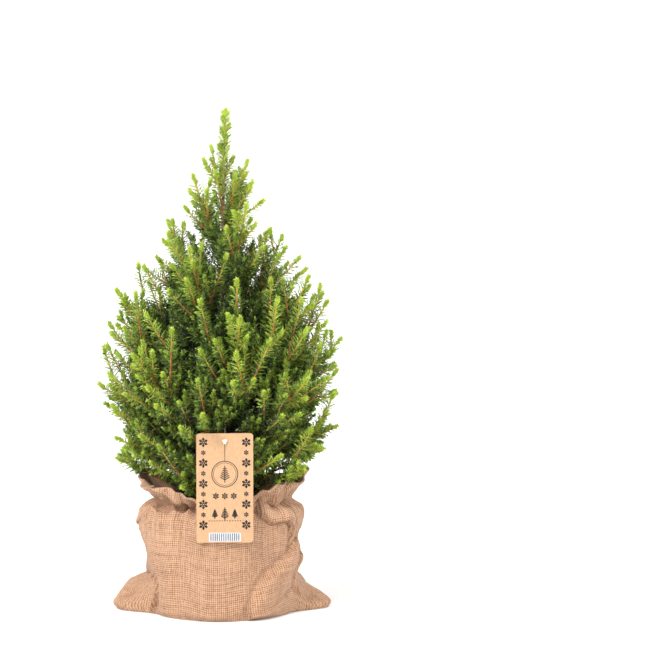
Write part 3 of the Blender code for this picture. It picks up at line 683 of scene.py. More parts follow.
# %% Fill the gaps that let light in
GAP_STEP = 9.0
WIDEST_GAP = 10.5
TIP_SPACING = 24.0
HIGH_TIP_SPACING = 26.0
SURFACE_TRIALS = 4000
SHORTEST_FILL = 14.0
LONGEST_FILL = 105.0
FILL_TOP = 440.0
FILL_WIDTH = 140.0
SAMPLE_STEP = 4.0
TURN_COST = 120.0
DISTANCE_COST = 0.35
SHORT_COST = 900.0


def samples_on(path):
    """Points along a path, about SAMPLE_STEP apart."""
    length = path_length(path)
    return point_on(path, np.linspace(0.0, length, max(2, round(length / SAMPLE_STEP) + 1)))[0]


def open_places(rng):
    """Jittered places all over the inside of the crown, clear of everything fixed."""
    wide = np.arange(-FILL_WIDTH, FILL_WIDTH + 1.0, GAP_STEP)
    high = np.arange(SOIL_TOP + 14.0, FILL_TOP, GAP_STEP)
    places = np.stack(np.meshgrid(wide, wide, high, indexing="ij"), axis=-1).reshape(-1, 3)
    places = places + rng.uniform(-0.35, 0.35, places.shape) * GAP_STEP
    inside = np.hypot(places[:, 0], places[:, 1]) < crown_reach(places[:, 2]) - INSET - 4.0
    return places[inside & clear_of_fixed(places, 3.0)]


def crown_flow(place):
    """The way that shoots grow at a place: outwards and up, steeper high up and near the trunk."""
    share = min(max((place[2] - LOWEST_TIP) / (HIGHEST_TIP - LOWEST_TIP), 0.0), 1.0)
    slope = limb_slope(share)
    out = place[:2] / max(float(np.hypot(place[0], place[1])), 1.0)
    return np.array((out[0] * math.sin(slope), out[1] * math.sin(slope), math.cos(slope)))


def bare_surface_places(rng):
    """Places just inside the crown's outline that are far from the tip of every long shoot."""
    tips = [shoot["path"][-1] for shoot in shoots if shoot["order"] < 2]
    chosen = []
    for _ in range(SURFACE_TRIALS):
        height = rng.uniform(LOWEST_TIP + 10.0, HIGHEST_TIP - 50.0)
        angle = rng.uniform(0.0, 2.0 * math.pi)
        reach = float(crown_reach(height)) - TIP_INSET - BUD_LENGTH
        place = np.array((reach * math.cos(angle), reach * math.sin(angle), height))
        if rng.uniform() > max(reach, 45.0) / 120.0 or not clear_of_fixed(place[None, :], 3.0)[0]:
            continue
        spacing = blend(TIP_SPACING, HIGH_TIP_SPACING, float(ease(260.0, 360.0, height)))
        if np.linalg.norm(np.array(tips) - place, axis=1).min() > spacing:
            tips.append(place)
            chosen.append(place)
    return np.array(chosen)


def grow_to(place, owner, wood, extra, inset, lobe=0.0):
    """A straight path to a place from the wood of one limb, along the way that shoots grow there."""
    reach = place - wood
    distance = np.linalg.norm(reach, axis=1)
    turn = 1.0 - (unit(reach) * crown_flow(place)).sum(axis=1)
    too_short = np.where(distance < SHORTEST_FILL, SHORT_COST, 0.0)
    best = int(np.argmin(TURN_COST * turn + DISTANCE_COST * distance + too_short))
    if distance[best] > LONGEST_FILL:
        return None
    heading = reach[best] / distance[best]
    longest = distance[best] + extra
    return trimmed_path(wood[best], heading, longest, owner, SHORTEST_FILL, INTERLACE, inset, lobe)


def wood_by_limb():
    """Places on each limb's own wood from which a shoot can grow."""
    wood = [[] for _ in limbs]
    for shoot in shoots:
        if shoot["order"] < 2:
            wood[shoot["owner"]].append(samples_on(shoot["path"]))
    for i in range(BOUGH_COUNT):
        wood[i].append(samples_on(limb_point(limbs[i], np.linspace(0.06, BOUGH_SHARE, 8))))
    return [np.concatenate(rows) for rows in wood]


def widest_open_places(rng):
    """The open places that are far from every shoot, furthest first."""
    points = np.concatenate([samples_on(shoot["path"]) for shoot in shoots])
    tree = kdtree.KDTree(len(points))
    for number, point in enumerate(points):
        tree.insert(point, number)
    tree.balance()
    places = open_places(rng)
    gaps = np.array([tree.find(place)[2] for place in places])
    widest_first = np.argsort(-gaps)
    return places[widest_first][gaps[widest_first] > WIDEST_GAP]


def fill_gaps():
    """Grow shoots to the bare places on the surface and through the open places inside."""
    rng = np.random.default_rng(31)
    wood = wood_by_limb()
    before = len(shoots)
    bare = bare_surface_places(rng)
    for place, owner in zip(bare, space.owner_of(bare)):
        add_shoots([grow_to(place, owner, wood[owner], 0.0, TIP_INSET)], owner, 1)
    print(len(bare), "bare places on the surface,", len(shoots) - before, "shoots grown to them")
    before = len(shoots)
    places = widest_open_places(rng)
    filled = np.zeros((0, 3))
    for place, owner in zip(places, space.owner_of(places)):
        if len(filled) and np.linalg.norm(filled - place, axis=1).min() < WIDEST_GAP:
            continue
        path = grow_to(place, owner, wood[owner], rng.uniform(12.0, 40.0), INSET, LOBE)
        if path is not None:
            far_out = np.hypot(*path[-1][:2]) > 0.7 * float(crown_reach(path[-1][2]))
            add_shoots([path], owner, 2 if far_out else 3)
            filled = np.concatenate([filled, samples_on(path)])
    print(len(places), "open places inside,", len(shoots) - before, "shoots grown to them")


fill_gaps()
counts = [sum(1 for shoot in shoots if shoot["order"] == order) for order in range(4)]
total = sum(path_length(shoot["path"]) for shoot in shoots)
print("shoots by order", counts, "and", round(total / 1000.0, 1), "m of them")

# %% [markdown]
# Thousands of small things are made as arrays and become one mesh at the end. Particles or
# instances would be lighter, but joined meshes stay in the file wherever the model goes.

# %% Meshes from arrays


def link_mesh(mesh, name, material):
    """Put a mesh into the scene as an object on the plant's body."""
    mesh.materials.append(material)
    thing = bpy.data.objects.new(name, mesh)
    bpy.context.scene.collection.objects.link(thing)
    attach(thing, "root")
    return thing


def mesh_from_arrays(name, points, faces, material, smooth):
    """An object from points in millimetres and faces that all have the same number of corners."""
    mesh = bpy.data.meshes.new(name)
    mesh.vertices.add(len(points))
    mesh.vertices.foreach_set("co", (points * MM).astype(np.float32).ravel())
    mesh.loops.add(faces.size)
    mesh.loops.foreach_set("vertex_index", faces.astype(np.int32).ravel())
    mesh.polygons.add(len(faces))
    mesh.polygons.foreach_set("loop_start", np.arange(0, faces.size, faces.shape[1], dtype=np.int32))
    mesh.update(calc_edges=True)
    if smooth:
        mesh.shade_smooth()
    else:
        mesh.shade_flat()
    return link_mesh(mesh, name, material)


def join_arrays(parts):
    """Join (points, faces) pairs into one pair."""
    points, faces, start = [], [], 0
    for part_points, part_faces in parts:
        points.append(part_points)
        faces.append(part_faces + start)
        start += len(part_points)
    return np.concatenate(points), np.concatenate(faces)


def steady_guide(way):
    """The upright, or a level direction for a way that is nearly upright itself."""
    return UP if abs(way[2]) < 0.93 else LEVEL


def square_to(ahead, guide):
    """Two directions square to the way ahead and to each other."""
    across = unit(np.cross(ahead, guide))
    return across, np.cross(across, ahead)


def tube_arrays(path, radii, sides, relief=None, guide=None):
    """A closed tube of triangles round a path; relief changes each ring's radii."""
    if guide is None:
        guide = steady_guide(unit(path[-1] - path[0]))
    across, over = square_to(unit(np.gradient(path, axis=0)), guide)
    angles = 2.0 * np.pi * np.arange(sides) / sides
    spokes = across[:, None, :] * np.cos(angles)[None, :, None]
    spokes = spokes + over[:, None, :] * np.sin(angles)[None, :, None]
    wide = np.repeat(np.asarray(radii, float)[:, None], sides, axis=1)
    if relief is not None:
        wide = relief(path, angles, wide)
    rings = path[:, None, :] + spokes * wide[:, :, None]
    count = len(path)
    points = np.concatenate([rings.reshape(-1, 3), path[:1], path[-1:]])
    i, k = np.meshgrid(np.arange(count - 1), np.arange(sides), indexing="ij")
    low, low_next = i * sides + k, i * sides + (k + 1) % sides
    faces = np.concatenate([
        np.stack([low, low_next, low_next + sides], axis=-1).reshape(-1, 3),
        np.stack([low, low_next + sides, low + sides], axis=-1).reshape(-1, 3),
    ])
    k = np.arange(sides)
    foot, top = count * sides, count * sides + 1
    last = (count - 1) * sides
    foot_cap = np.stack([(k + 1) % sides, k, np.full(sides, foot)], axis=-1)
    top_cap = np.stack([last + k, last + (k + 1) % sides, np.full(sides, top)], axis=-1)
    return points, np.concatenate([faces, foot_cap, top_cap])


def triangles_of(thing):
    """How many triangles an object's own mesh has."""
    return sum(len(polygon.vertices) - 2 for polygon in thing.data.polygons)


print("meshes are made from arrays")

# %% [markdown]
# Spruce bark on a young trunk is thin and pinkish tan, rough with the pegs that old needles leave
# behind. The relief is real: pegs in crossing spirals and irregular flakes on the trunk, and pegs
# on each bough down to its collar on the trunk.

# %% Bark material and mesh


def bark_material():
    """Rough outer bark: flaky patches of two browns, darkened along the flake edges as painted shade in the
    furrows, quite matt.
    """
    material, shader = start_material("young_spruce_bark", 0.82, 1.45)
    place = object_place(material)
    patches = noise_node(material, 5.0, 5.0, place, 0.6)
    tone = ramp_node(material, patches, (0.32, "96603F"), (0.66, "DBAE8A"))
    flakes = add_node(material, "ShaderNodeTexVoronoi", settings={"feature": "DISTANCE_TO_EDGE"},
                      values={"Scale": 1.0 / (2.2 * MM)}, links={"Vector": place}).outputs["Distance"]
    # Colour darkens towards the flake edges, where the bump sinks into furrows: painted shade.
    edge = add_node(material, "ShaderNodeMapRange", links={"Value": flakes},
                    values={"From Max": 0.16, "To Min": 0.55, "To Max": 1.0})
    colour = shaded(material, tone, edge.outputs["Result"])
    return finish_material(material, shader, colour, flakes, 0.5, 0.3)


def trunk_relief(path, angles, wide):
    """Root flutes at the foot, then pegs in crossing spirals and flakes all the way up."""
    height = path[:, 2][:, None]
    fade = np.exp(-(height - SOIL_TOP) / ROOT_FLARE_HEIGHT)
    wide = wide * (1.0 + FLUTE_DEPTH * np.cos(ROOT_FLUTES * angles)[None, :] * fade)
    pegs = np.cos(8.0 * angles[None, :] + height * 1.05) * np.cos(5.0 * angles[None, :] - height * 1.5)
    rough = np.empty_like(wide)
    for i, point in enumerate(path):
        for k, angle in enumerate(angles):
            place = Vector((math.cos(angle) * 1.6, math.sin(angle) * 1.6, point[2] * 0.32))
            rough[i, k] = noise.noise(place)
    return wide * (1.0 + 0.07 * np.maximum(pegs, -0.3) + 0.12 * rough)


def bough_relief(path, angles, wide):
    """Pegs in a spiral round a bough."""
    s = np.arange(len(path))[:, None] * 1.5
    return wide * (1.0 + 0.12 * np.cos(3.0 * angles[None, :] + s * 1.3) * np.cos(2.0 * angles - s * 0.9))


def bough_radius(index, t):
    """Radius of a bough, thinner higher up the tree and towards its end."""
    size = blend(1.0, 0.66, index / LIMB_COUNT)
    return size * blend(BOUGH_ROOT_RADIUS, STEM_RADIUS * 0.8, np.minimum(t / BOUGH_SHARE, 1.0))


def make_bark():
    """Trunk and boughs as one mesh of rough tapering limbs."""
    heights = np.linspace(SOIL_TOP + CLEARANCE, TRUNK_TOP, 260)
    parts = [tube_arrays(trunk_centre(heights), trunk_radius(heights), 26, trunk_relief)]
    for i in range(BOUGH_COUNT):
        length = float(np.linalg.norm(limbs[i][2] - limbs[i][0])) * BOUGH_SHARE
        t = np.linspace(0.0, BOUGH_SHARE, max(8, round(length / 1.5)))
        collar = 1.0 + 0.5 * np.exp(-t * length / BOUGH_SHARE / 4.0)
        parts.append(tube_arrays(limb_point(limbs[i], t), bough_radius(i, t) * collar, 12, bough_relief))
    points, faces = join_arrays(parts)
    bark = mesh_from_arrays("bark_of_trunk_and_boughs", points, faces, bark_material(), True)
    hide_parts("trunk", *[f"bough_{i + 1:02d}" for i in range(BOUGH_COUNT)])
    return bark


bark = make_bark()
print(bark.name, triangles_of(bark), "triangles")

# %% [markdown]
# A twig's colour tells its age: this year's growth is yellowish green, last year's orange brown,
# older wood a dark red brown. Each shoot is cut into stretches by the distance from its tip, and
# the stretches of one age are joined into one mesh with one plain colour and a fine grain.

# %% Twigs
TWIG_AGES = (
    ("young", 24.0, "A89A3A", "C69E48"),
    ("last_year", 60.0, "9C5C2C", "BE8248"),
    ("old", 400.0, "5E3420", "8A5231"),
)
TWIG_RADII = {0: (1.5, 0.75), 1: (1.1, 0.7), 2: (0.75, 0.55), 3: (0.75, 0.5)}
TWIG_SIDES = {0: 5, 1: 4, 2: 3, 3: 3}
MASS_NODES = [f"mass_{i + 1:02d}" for i in range(LIMB_COUNT)] + ["mass_leader"]


def twig_stretches(shoot):
    """The stretches of a shoot's wood, each with its age."""
    path = shoot["path"]
    marks = np.concatenate([[0.0], np.cumsum(np.linalg.norm(np.diff(path, axis=0), axis=1))])
    length = marks[-1]
    thick, thin = TWIG_RADII[shoot["order"]]
    newest = 0.0 if shoot["order"] < 3 else TWIG_AGES[1][1]
    found = []
    for age, (_, oldest, _, _) in enumerate(TWIG_AGES):
        high, low = length - newest, length - oldest
        newest = max(oldest, newest)
        if high <= 0.0:
            break
        low = max(low, 0.0)
        if high - low < 0.5:
            continue
        s = np.linspace(low, high, max(2, round((high - low) / PATH_STEP) + 1))
        points, _ = point_on(path, s)
        found.append((age, tube_arrays(points, blend(thick, thin, s / length), TWIG_SIDES[shoot["order"]])))
    return found


def make_twigs():
    """One piece for each age, with all the twigs of that age."""
    by_age = {age: [] for age in range(len(TWIG_AGES))}
    for shoot in shoots:
        for age, arrays in twig_stretches(shoot):
            by_age[age].append(arrays)
    for age, (name, _, dark, light) in enumerate(TWIG_AGES):
        points, faces = join_arrays(by_age[age])
        material = two_tone_material("twig_bark_" + name, dark, light, 0.7, 1.45, 3.0, 0.1)
        piece = mesh_from_arrays("twigs_" + name, points, faces, material, True)
        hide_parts(*MASS_NODES)
        print(piece.name, triangles_of(piece), "triangles")


make_twigs()

# %% [markdown]
# A dwarf spruce's needle is eight or nine millimetres long, under one wide and three or four
# sided, set on its peg in a tight spiral. On older wood it stands out at sixty degrees; at a
# growing tip the needles are short, soft and bright, and point forward like a brush. Each one
# here is a spindle of four small faces, drawn a little larger than life so that it shows. Its
# length, angle and green depend on its distance from the tip, on the shoot's order and on how
# deep in the crown it sits: the green darkens with depth inside the crown's outline, which is
# painted shade on top of the shade that the rendered crown casts.

# %% Deal the needles
NEEDLE_LENGTH = 10.2
TIP_NEEDLE_LENGTH = 4.8
NEEDLE_WIDTH = 1.2
NEAR_SHOULDER = 0.22
FAR_SHOULDER = 0.78
NEEDLES_PER_MM = {0: 1.75, 1: 1.75, 2: 1.55, 3: 1.3}
TIP_NEEDLES_PER_MM = {0: 6.5, 1: 6.5, 2: 4.0, 3: 1.0}
TIP_TUFT = 8.0
OPEN_ANGLE = 60.0
TUFT_ANGLE = 45.0
TIP_ANGLE = 33.0
NEEDLE_LIFT = 0.06
INNER_NEEDLE = 0.88
LEADER_DENSITY = 2.2
LEADER_TUFT = 3.0
LEADER_LOSS = 0.24
LEADER_SHADE = 0.35
LEADER_FRESHNESS = 0.6
FRESHNESS = {0: 0.95, 1: 0.85, 2: 0.26, 3: 0.0}
SURFACE_BRIGHTNESS = 0.69
SURFACE_DEPTH = 6.0
SHADE_LOSS = 0.54
SHADE_DEPTH = 38.0
HEIGHT_GAIN = 0.12
TIP_GAIN = 0.36
TIP_LENGTH = 7.0
YOUNG_GAIN = 0.07
YOUNG_LENGTH = 20.0
SHOOT_SPREAD = 0.09
NEEDLE_SPREAD = 0.16
# Bands of brightness and their greens: the darker bands hold mostly needles darkened by their depth in the
# crown, as painted shade.
GREENS = (
    ("shade", 0.19, "1A240F", "2F3A1A"),
    ("deep", 0.37, "3C501F", "566A2A"),
    ("mid", 0.57, "657F2D", "84A03B"),
    ("light", 0.77, "88A038", "A2B84A"),
    ("lime", 9.0, "A4BC3C", "BCD054"),
)
NEEDLES_PER_PIECE = 49000


def brightness(foot, from_tip, order, on_leader, leads):
    """How bright needles are: darker deeper inside the crown as painted shade, brighter high up and at
    growing tips.
    """
    depth = np.maximum(crown_reach(foot[:, 2]) - SURFACE_DEPTH - np.hypot(foot[:, 0], foot[:, 1]), 0.0)
    shade_loss = SHADE_LOSS * (LEADER_SHADE if on_leader else 1.0)
    # Needles darken the deeper they sit inside the crown's outline: painted shade.
    bright = SURFACE_BRIGHTNESS - shade_loss * (1.0 - np.exp(-depth / SHADE_DEPTH))
    bright += HEIGHT_GAIN * (foot[:, 2] - 300.0) / 200.0 - (LEADER_LOSS if on_leader else 0.0)
    beyond = np.maximum(from_tip, 0.0)
    fresh = FRESHNESS[order] * (LEADER_FRESHNESS if on_leader and not leads else 1.0)
    bright += TIP_GAIN * fresh * np.exp(-(beyond / TIP_LENGTH) ** 2)
    bright += YOUNG_GAIN * fresh * np.exp(-(beyond / YOUNG_LENGTH) ** 2)
    return bright


def deal_needles(shoot, rng):
    """Foot, direction, side, length, width and brightness of the needles on one shoot."""
    path, owner, order = shoot["path"], shoot["owner"], shoot["order"]
    on_leader = owner == LEADER
    leads = on_leader and order == 0
    length = path_length(path)
    tuft = min(TIP_TUFT, length * 0.5)
    count = int(length * NEEDLES_PER_MM[order] * (LEADER_DENSITY if leads else 1.0))
    extra = int(tuft * TIP_NEEDLES_PER_MM[order])
    s = np.concatenate([np.linspace(1.0, length, count), np.linspace(length - tuft, length, extra)])
    count = len(s)
    foot, ahead = point_on(path, s)
    from_tip = length - s + rng.uniform(-0.5, 0.5, count)
    angle = blend(TIP_ANGLE, TUFT_ANGLE, ease(0.0, 2.5, from_tip))
    angle = np.radians(blend(angle, OPEN_ANGLE, ease(7.0, 12.0, from_tip)) + rng.normal(0.0, 6.0, count))
    roll = np.radians(GOLDEN_ANGLE) * np.arange(count) + rng.uniform(-0.5, 0.5, count)
    across, over = square_to(ahead, steady_guide(ahead[0]))
    out = across * np.cos(roll)[:, None] + over * np.sin(roll)[:, None]
    heading = unit(ahead * np.cos(angle)[:, None] + out * np.sin(angle)[:, None] + UP * NEEDLE_LIFT)
    short_for = LEADER_TUFT if leads else TIP_TUFT
    long = blend(TIP_NEEDLE_LENGTH, NEEDLE_LENGTH, ease(short_for - 1.0, short_for + 5.0, from_tip))
    long = long * rng.uniform(0.82, 1.12, count) * (INNER_NEEDLE if order >= 2 else 1.0)
    wide = NEEDLE_WIDTH * rng.uniform(0.85, 1.15, count)
    bright = brightness(foot, from_tip, order, on_leader, leads)
    bright += rng.normal(0.0, SHOOT_SPREAD) + rng.normal(0.0, NEEDLE_SPREAD, count)
    point = foot + heading * long[:, None]
    keep = clear_of_fixed(point, 0.3, SKIRT_GAP) & (space.room(point, owner) > 1.6 * INTERLACE)
    side = unit(np.cross(heading, out + ahead * 0.3))
    return [array[keep] for array in (foot, heading, side, long, wide, bright)]


def needle_arrays(foot, heading, side, long, wide):
    """Slim spindles of four faces; their two shoulders are staggered, so the sides run parallel."""
    third = np.cross(heading, side) * (wide * 0.6)[:, None]
    half = side * (wide * 0.5)[:, None]
    left = foot + heading * (long * NEAR_SHOULDER)[:, None] + third + half
    right = foot + heading * (long * FAR_SHOULDER)[:, None] + third - half
    points = np.stack([foot, left, right, foot + heading * long[:, None]], axis=1).reshape(-1, 3)
    pattern = np.array([(0, 1, 2), (3, 2, 1), (0, 3, 1), (0, 2, 3)])
    faces = (np.arange(len(foot))[:, None, None] * 4 + pattern[None, :, :]).reshape(-1, 3)
    return points, faces


needle_rng = np.random.default_rng(77)
dealt = [deal_needles(shoot, needle_rng) for shoot in shoots]
needle_data = [np.concatenate(column) for column in zip(*dealt)]
print(len(needle_data[0]), "needles dealt")

# %% [markdown]
# The needles of one green are one kind, and a kind with too many for one mesh is split. A needle
# has a waxy skin, so its gloss is soft and wide rather than sharp.

# %% Needles


def make_needles():
    """One or more pieces for each green."""
    foot, heading, side, long, wide, bright = needle_data
    lowest = -9.0
    for name, highest, dark, light in GREENS:
        chosen = np.nonzero((bright >= lowest) & (bright < highest))[0]
        lowest = highest
        material = two_tone_material("needle_wax_" + name, dark, light, 0.46, 1.45, 9.0, 0.05)
        pieces = max(1, math.ceil(len(chosen) / NEEDLES_PER_PIECE))
        for number, some in enumerate(np.array_split(chosen, pieces)):
            points, faces = needle_arrays(foot[some], heading[some], side[some], long[some], wide[some])
            piece = mesh_from_arrays(f"needles_{name}_{number + 1}", points, faces, material, False)
            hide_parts(*MASS_NODES)
            print(piece.name, len(some), "needles")


make_needles()

# %% [markdown]
# Under the branches sits a nursery pot. Such pots are blown or moulded from black recycled
# polypropylene: thin, slightly tapered, with a deep rim that stiffens the mouth. A profile turned
# round the axis is the natural way to make one, and a finer profile than the solid's rounds its lip.

# %% Pot
SACK_FLOOR = 2.6
LIP_ROUND = 0.8
POT_STEPS = 128


def moulded_polypropylene():
    """Moulded recycled plastic: charcoal, softly glossy, with the faint grain of the mould."""
    material, shader = start_material("moulded_polypropylene", 0.42, 1.49)
    place = object_place(material)
    tone = ramp_node(material, noise_node(material, 14.0, 4.0, place), (0.0, "1E1D1C"), (1.0, "393735"))
    return finish_material(material, shader, tone, noise_node(material, 0.9, 2.0, place), 0.3, 0.05)


def make_pot():
    """The pot as a turned profile with a rounded lip."""
    foot = SACK_FLOOR + CLEARANCE
    top = foot + POT_HEIGHT - POT_FLOOR
    step = top - POT_RIM_DROP
    body = POT_TOP_RADIUS - POT_RIM_STEP
    inside = POT_TOP_RADIUS - POT_WALL
    middle = POT_TOP_RADIUS - POT_WALL / 2.0
    profile = [(0.0, foot + POT_FLOOR), (POT_FOOT_RADIUS - POT_WALL, foot + POT_FLOOR)]
    profile += [(body - POT_WALL, step), (inside, step + POT_RIM_STEP), (inside, top - LIP_ROUND)]
    for i in range(1, 6):
        angle = math.pi * (1.0 - i / 6.0)
        profile.append((middle + LIP_ROUND * math.cos(angle), top - LIP_ROUND * (1.0 - math.sin(angle))))
    profile += [(POT_TOP_RADIUS, top - LIP_ROUND), (POT_TOP_RADIUS, step + 0.5)]
    profile += [(POT_TOP_RADIUS - 0.5, step), (body, step)]
    profile += [(POT_FOOT_RADIUS, foot + 0.8), (POT_FOOT_RADIUS - 0.8, foot), (0.0, foot)]
    mesh = profile_mesh("nursery_pot", [(out * MM, height * MM) for out, height in reversed(profile)])
    pot = link_mesh(mesh, "nursery_pot", moulded_polypropylene())
    turn_round(pot, POT_STEPS, 0.00001).use_normal_calculate = True
    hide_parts("pot")
    return pot


pot = make_pot()
print(pot.name, "is", round(2.0 * POT_TOP_RADIUS), "mm across its rim")

# %% [markdown]
# Potting mix is peat and bark crumbs. Its surface dips towards the pot's wall and is never smooth,
# so it is a round grid of noisy heights with some hundreds of loose crumbs pressed half into it.

# %% Potting mix
SOIL_RADIUS = 61.0
SOIL_DEPTH = 16.0
SOIL_RINGS = 34
SOIL_SPOKES = 120
CRUMBS = 420


def soil_height(x, y):
    """Height of the mix at a place: level at the trunk, lower near the pot's wall, lumpy all over."""
    out = math.hypot(x, y)
    lump = noise.noise(Vector((x / 7.0, y / 7.0, 2.0))) + 0.5 * noise.noise(Vector((x / 2.6, y / 2.6, 9.0)))
    slope = 4.4 * float(ease(14.0, SOIL_RADIUS, out))
    return SOIL_TOP - 0.6 - slope + 1.1 * lump * float(ease(9.0, 16.0, out))


def make_soil():
    """The lumpy surface with a closed side and underside, and its crumbs."""
    points = [(0.0, 0.0, SOIL_TOP - 0.6)]
    for i in range(1, SOIL_RINGS + 1):
        for k in range(SOIL_SPOKES):
            angle = 2.0 * math.pi * k / SOIL_SPOKES
            out = SOIL_RADIUS * i / SOIL_RINGS
            x, y = out * math.cos(angle), out * math.sin(angle)
            points.append((x, y, soil_height(x, y)))
    points += [(x, y, SOIL_TOP - SOIL_DEPTH) for x, y, _ in points[-SOIL_SPOKES:]]
    points.append((0.0, 0.0, SOIL_TOP - SOIL_DEPTH))
    faces = []
    rim = 1 + SOIL_RINGS * SOIL_SPOKES
    for k in range(SOIL_SPOKES):
        n = (k + 1) % SOIL_SPOKES
        faces.append((0, 1 + k, 1 + n))
        for low in range(1, rim, SOIL_SPOKES):
            high = low + SOIL_SPOKES
            faces += [(low + k, high + k, high + n), (low + k, high + n, low + n)]
        faces.append((rim + n, rim + k, len(points) - 1))
    parts = [(np.array(points), np.array(faces))]
    rng = random.Random(12)
    star = np.array([(1, 0, 0), (0, 1, 0), (-1, 0, 0), (0, -1, 0), (0, 0, 1), (0, 0, -1)], float)
    sides = np.array([(0, 1, 4), (1, 2, 4), (2, 3, 4), (3, 0, 4),
                      (1, 0, 5), (2, 1, 5), (3, 2, 5), (0, 3, 5)])
    for _ in range(CRUMBS):
        angle, out = rng.uniform(0.0, 2.0 * math.pi), 12.0 + (SOIL_RADIUS - 15.0) * rng.random() ** 0.6
        x, y = out * math.cos(angle), out * math.sin(angle)
        size = np.array((rng.uniform(0.8, 2.6), rng.uniform(0.7, 1.6), rng.uniform(0.5, 1.1)))
        turn = rng.uniform(0.0, 6.3)
        a, b, c = (star * size * [[rng.uniform(0.7, 1.2)] for _ in range(6)]).T
        spun = np.stack([a * math.cos(turn) - b * math.sin(turn),
                         a * math.sin(turn) + b * math.cos(turn), c], axis=1)
        parts.append((spun + (x, y, soil_height(x, y) + 0.3), sides))
    points, faces = join_arrays(parts)
    peat = two_tone_material("moist_peat_and_bark", "2A1B12", "5A4230", 0.95, 1.4, 2.4, 0.6)
    soil = mesh_from_arrays("potting_mix", points, faces, peat, False)
    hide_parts("soil")
    return soil


soil = make_soil()
print(soil.name, triangles_of(soil), "triangles with", CRUMBS, "crumbs")

# %% [markdown]
# The sack is a sewn bag of jute burlap, about 270 by 250 millimetres laid flat. The pot stands in
# it, so its two lower corners stick out as soft ears, its waist is drawn in over the pot's rim
# and its hem stands up as a wavy collar. It could be simulated, but the folds of the real one are
# known from sight, so it is modelled by hand: a loft through the solid's own sections, raised and
# lowered along its normals by pleats, creases and puffs, with its hem turned in.

# %% The sack's sections
SACK_SECTIONS = (
    (0.0, 74.0, 76.0, 80.0, 0.6),
    (5.0, 76.0, 78.0, 83.5, 0.8),
    (15.0, 75.0, 78.0, 84.0, 1.0),
    (27.0, 74.0, 78.0, 83.0, 1.2),
    (38.0, 75.5, 79.0, 82.3, 1.3),
    (50.0, 79.0, 82.0, 82.0, 1.3),
    (62.0, 82.0, 81.5, 83.0, 1.4),
    (76.0, 85.5, 79.5, 84.0, 1.5),
    (90.0, 88.0, 82.0, 84.5, 1.6),
    (101.0, 89.0, 85.0, 84.0, 1.8),
    (107.0, 86.0, 83.0, 81.0, 2.0),
    (111.5, 79.0, 76.0, 74.0, 2.2),
    (115.0, 72.0, 70.5, 67.5, 2.4),
)
EAR_HALF_ANGLE = 15.0
LEFT_EAR = 38.0
RIGHT_EAR = 35.0
HEM_HALF_WIDTH = 88.0
HEM_HALF_DEPTH = 79.0
HEM_FOLD = 1.8
WAIST = 115.0
SACK_COLUMNS = 320
SACK_ROW = 1.7
CLOTH_THICK = 1.1
HEM_THICK = 2.2
HEM_DEEP = 8.0
CLOTH_ROUND = 540.0
THREAD_PITCH = 2.15
YARN_WIDTH = 2.6
YARN_RUN = 45.0

around = 2.0 * np.pi * np.arange(SACK_COLUMNS) / SACK_COLUMNS


def ring_points(radius, height):
    """Points round the plant at each column's radius and height."""
    return np.stack([radius * np.cos(around), radius * np.sin(around), height + 0.0 * around], axis=-1)


def sack_section(height, left, right, half_depth, fold):
    """One oval section of the sack with soft folds, its two sides of unlike width."""
    half_width = np.where(np.cos(around) > 0.0, right, left)
    oval = 1.0 / np.hypot(np.cos(around) / half_width, np.sin(around) / half_depth)
    wave = fold * (np.sin(7.0 * around + 0.4) + 0.6 * np.sin(11.0 * around + 2.1))
    return ring_points(oval + wave, height)


def collar_section(share):
    """A section of the collar, which flares from the waist, share 0, to its hem, share 1."""
    waist = np.hypot(*sack_section(*SACK_SECTIONS[-1])[:, :2].T)
    rim = 1.0 / np.hypot(np.cos(around) / HEM_HALF_WIDTH, np.sin(around) / HEM_HALF_DEPTH)
    rim = rim + HEM_FOLD * np.sin(7.0 * around + 0.9)
    return ring_points(blend(waist, rim, share), blend(WAIST, sack_rim_height(around), share))


def ear_reach(height):
    """How far the lower corners stick out: the left one is plump, the right one slopes down."""
    plump = LEFT_EAR * np.sqrt(np.clip(1.0 - ((height - 8.0) / 25.0) ** 2, 0.0, 1.0))
    sloping = RIGHT_EAR * (1.0 - ease(4.0, 38.0, height))
    side = np.degrees(np.arcsin(np.abs(np.sin(around))))
    return np.where(np.cos(around) > 0.0, sloping, plump) * np.exp(-(side / EAR_HALF_ANGLE) ** 2)


def loft_rows(sections, step):
    """Rows of a smooth loft through sections, about step apart."""
    gaps = [np.linalg.norm(b - a, axis=1).mean() for a, b in zip(sections, sections[1:])]
    marks = np.concatenate([[0.0], np.cumsum(gaps)])
    stack = np.array(sections)
    slopes = np.gradient(stack, marks, axis=0)
    rows = []
    for i, gap in enumerate(gaps):
        count = max(1, round(gap / step))
        for t in np.arange(count) / count:
            rows.append(stack[i] * (2 * t**3 - 3 * t**2 + 1) + stack[i + 1] * (3 * t**2 - 2 * t**3)
                        + (slopes[i] * (t**3 - 2 * t**2 + t) + slopes[i + 1] * (t**3 - t**2)) * gap)
    rows.append(stack[-1])
    return np.array(rows)


sections = [sack_section(*section) for section in SACK_SECTIONS]
sections += [collar_section(share) for share in (0.25, 0.6, 1.0)]
sack_rows = loft_rows(sections, SACK_ROW)
outward = unit(sack_rows * (1.0, 1.0, 0.0))
sack_rows += outward * ear_reach(sack_rows[:, :, 2])[:, :, None]
print("sack lofted in", len(sack_rows), "rows of", SACK_COLUMNS)

# %% [markdown]
# Folds are told in the cloth's own terms: an angle to the right of the front and a height. A pleat
# runs down and up from the waist where the cloth is gathered. A crease is a short line where the
# cloth on one side laps over the other, so it is a step with a groove along its foot. The
# strongest ones follow the photograph, and seeded ones go round the back, where the cloth would
# fold in the same way.

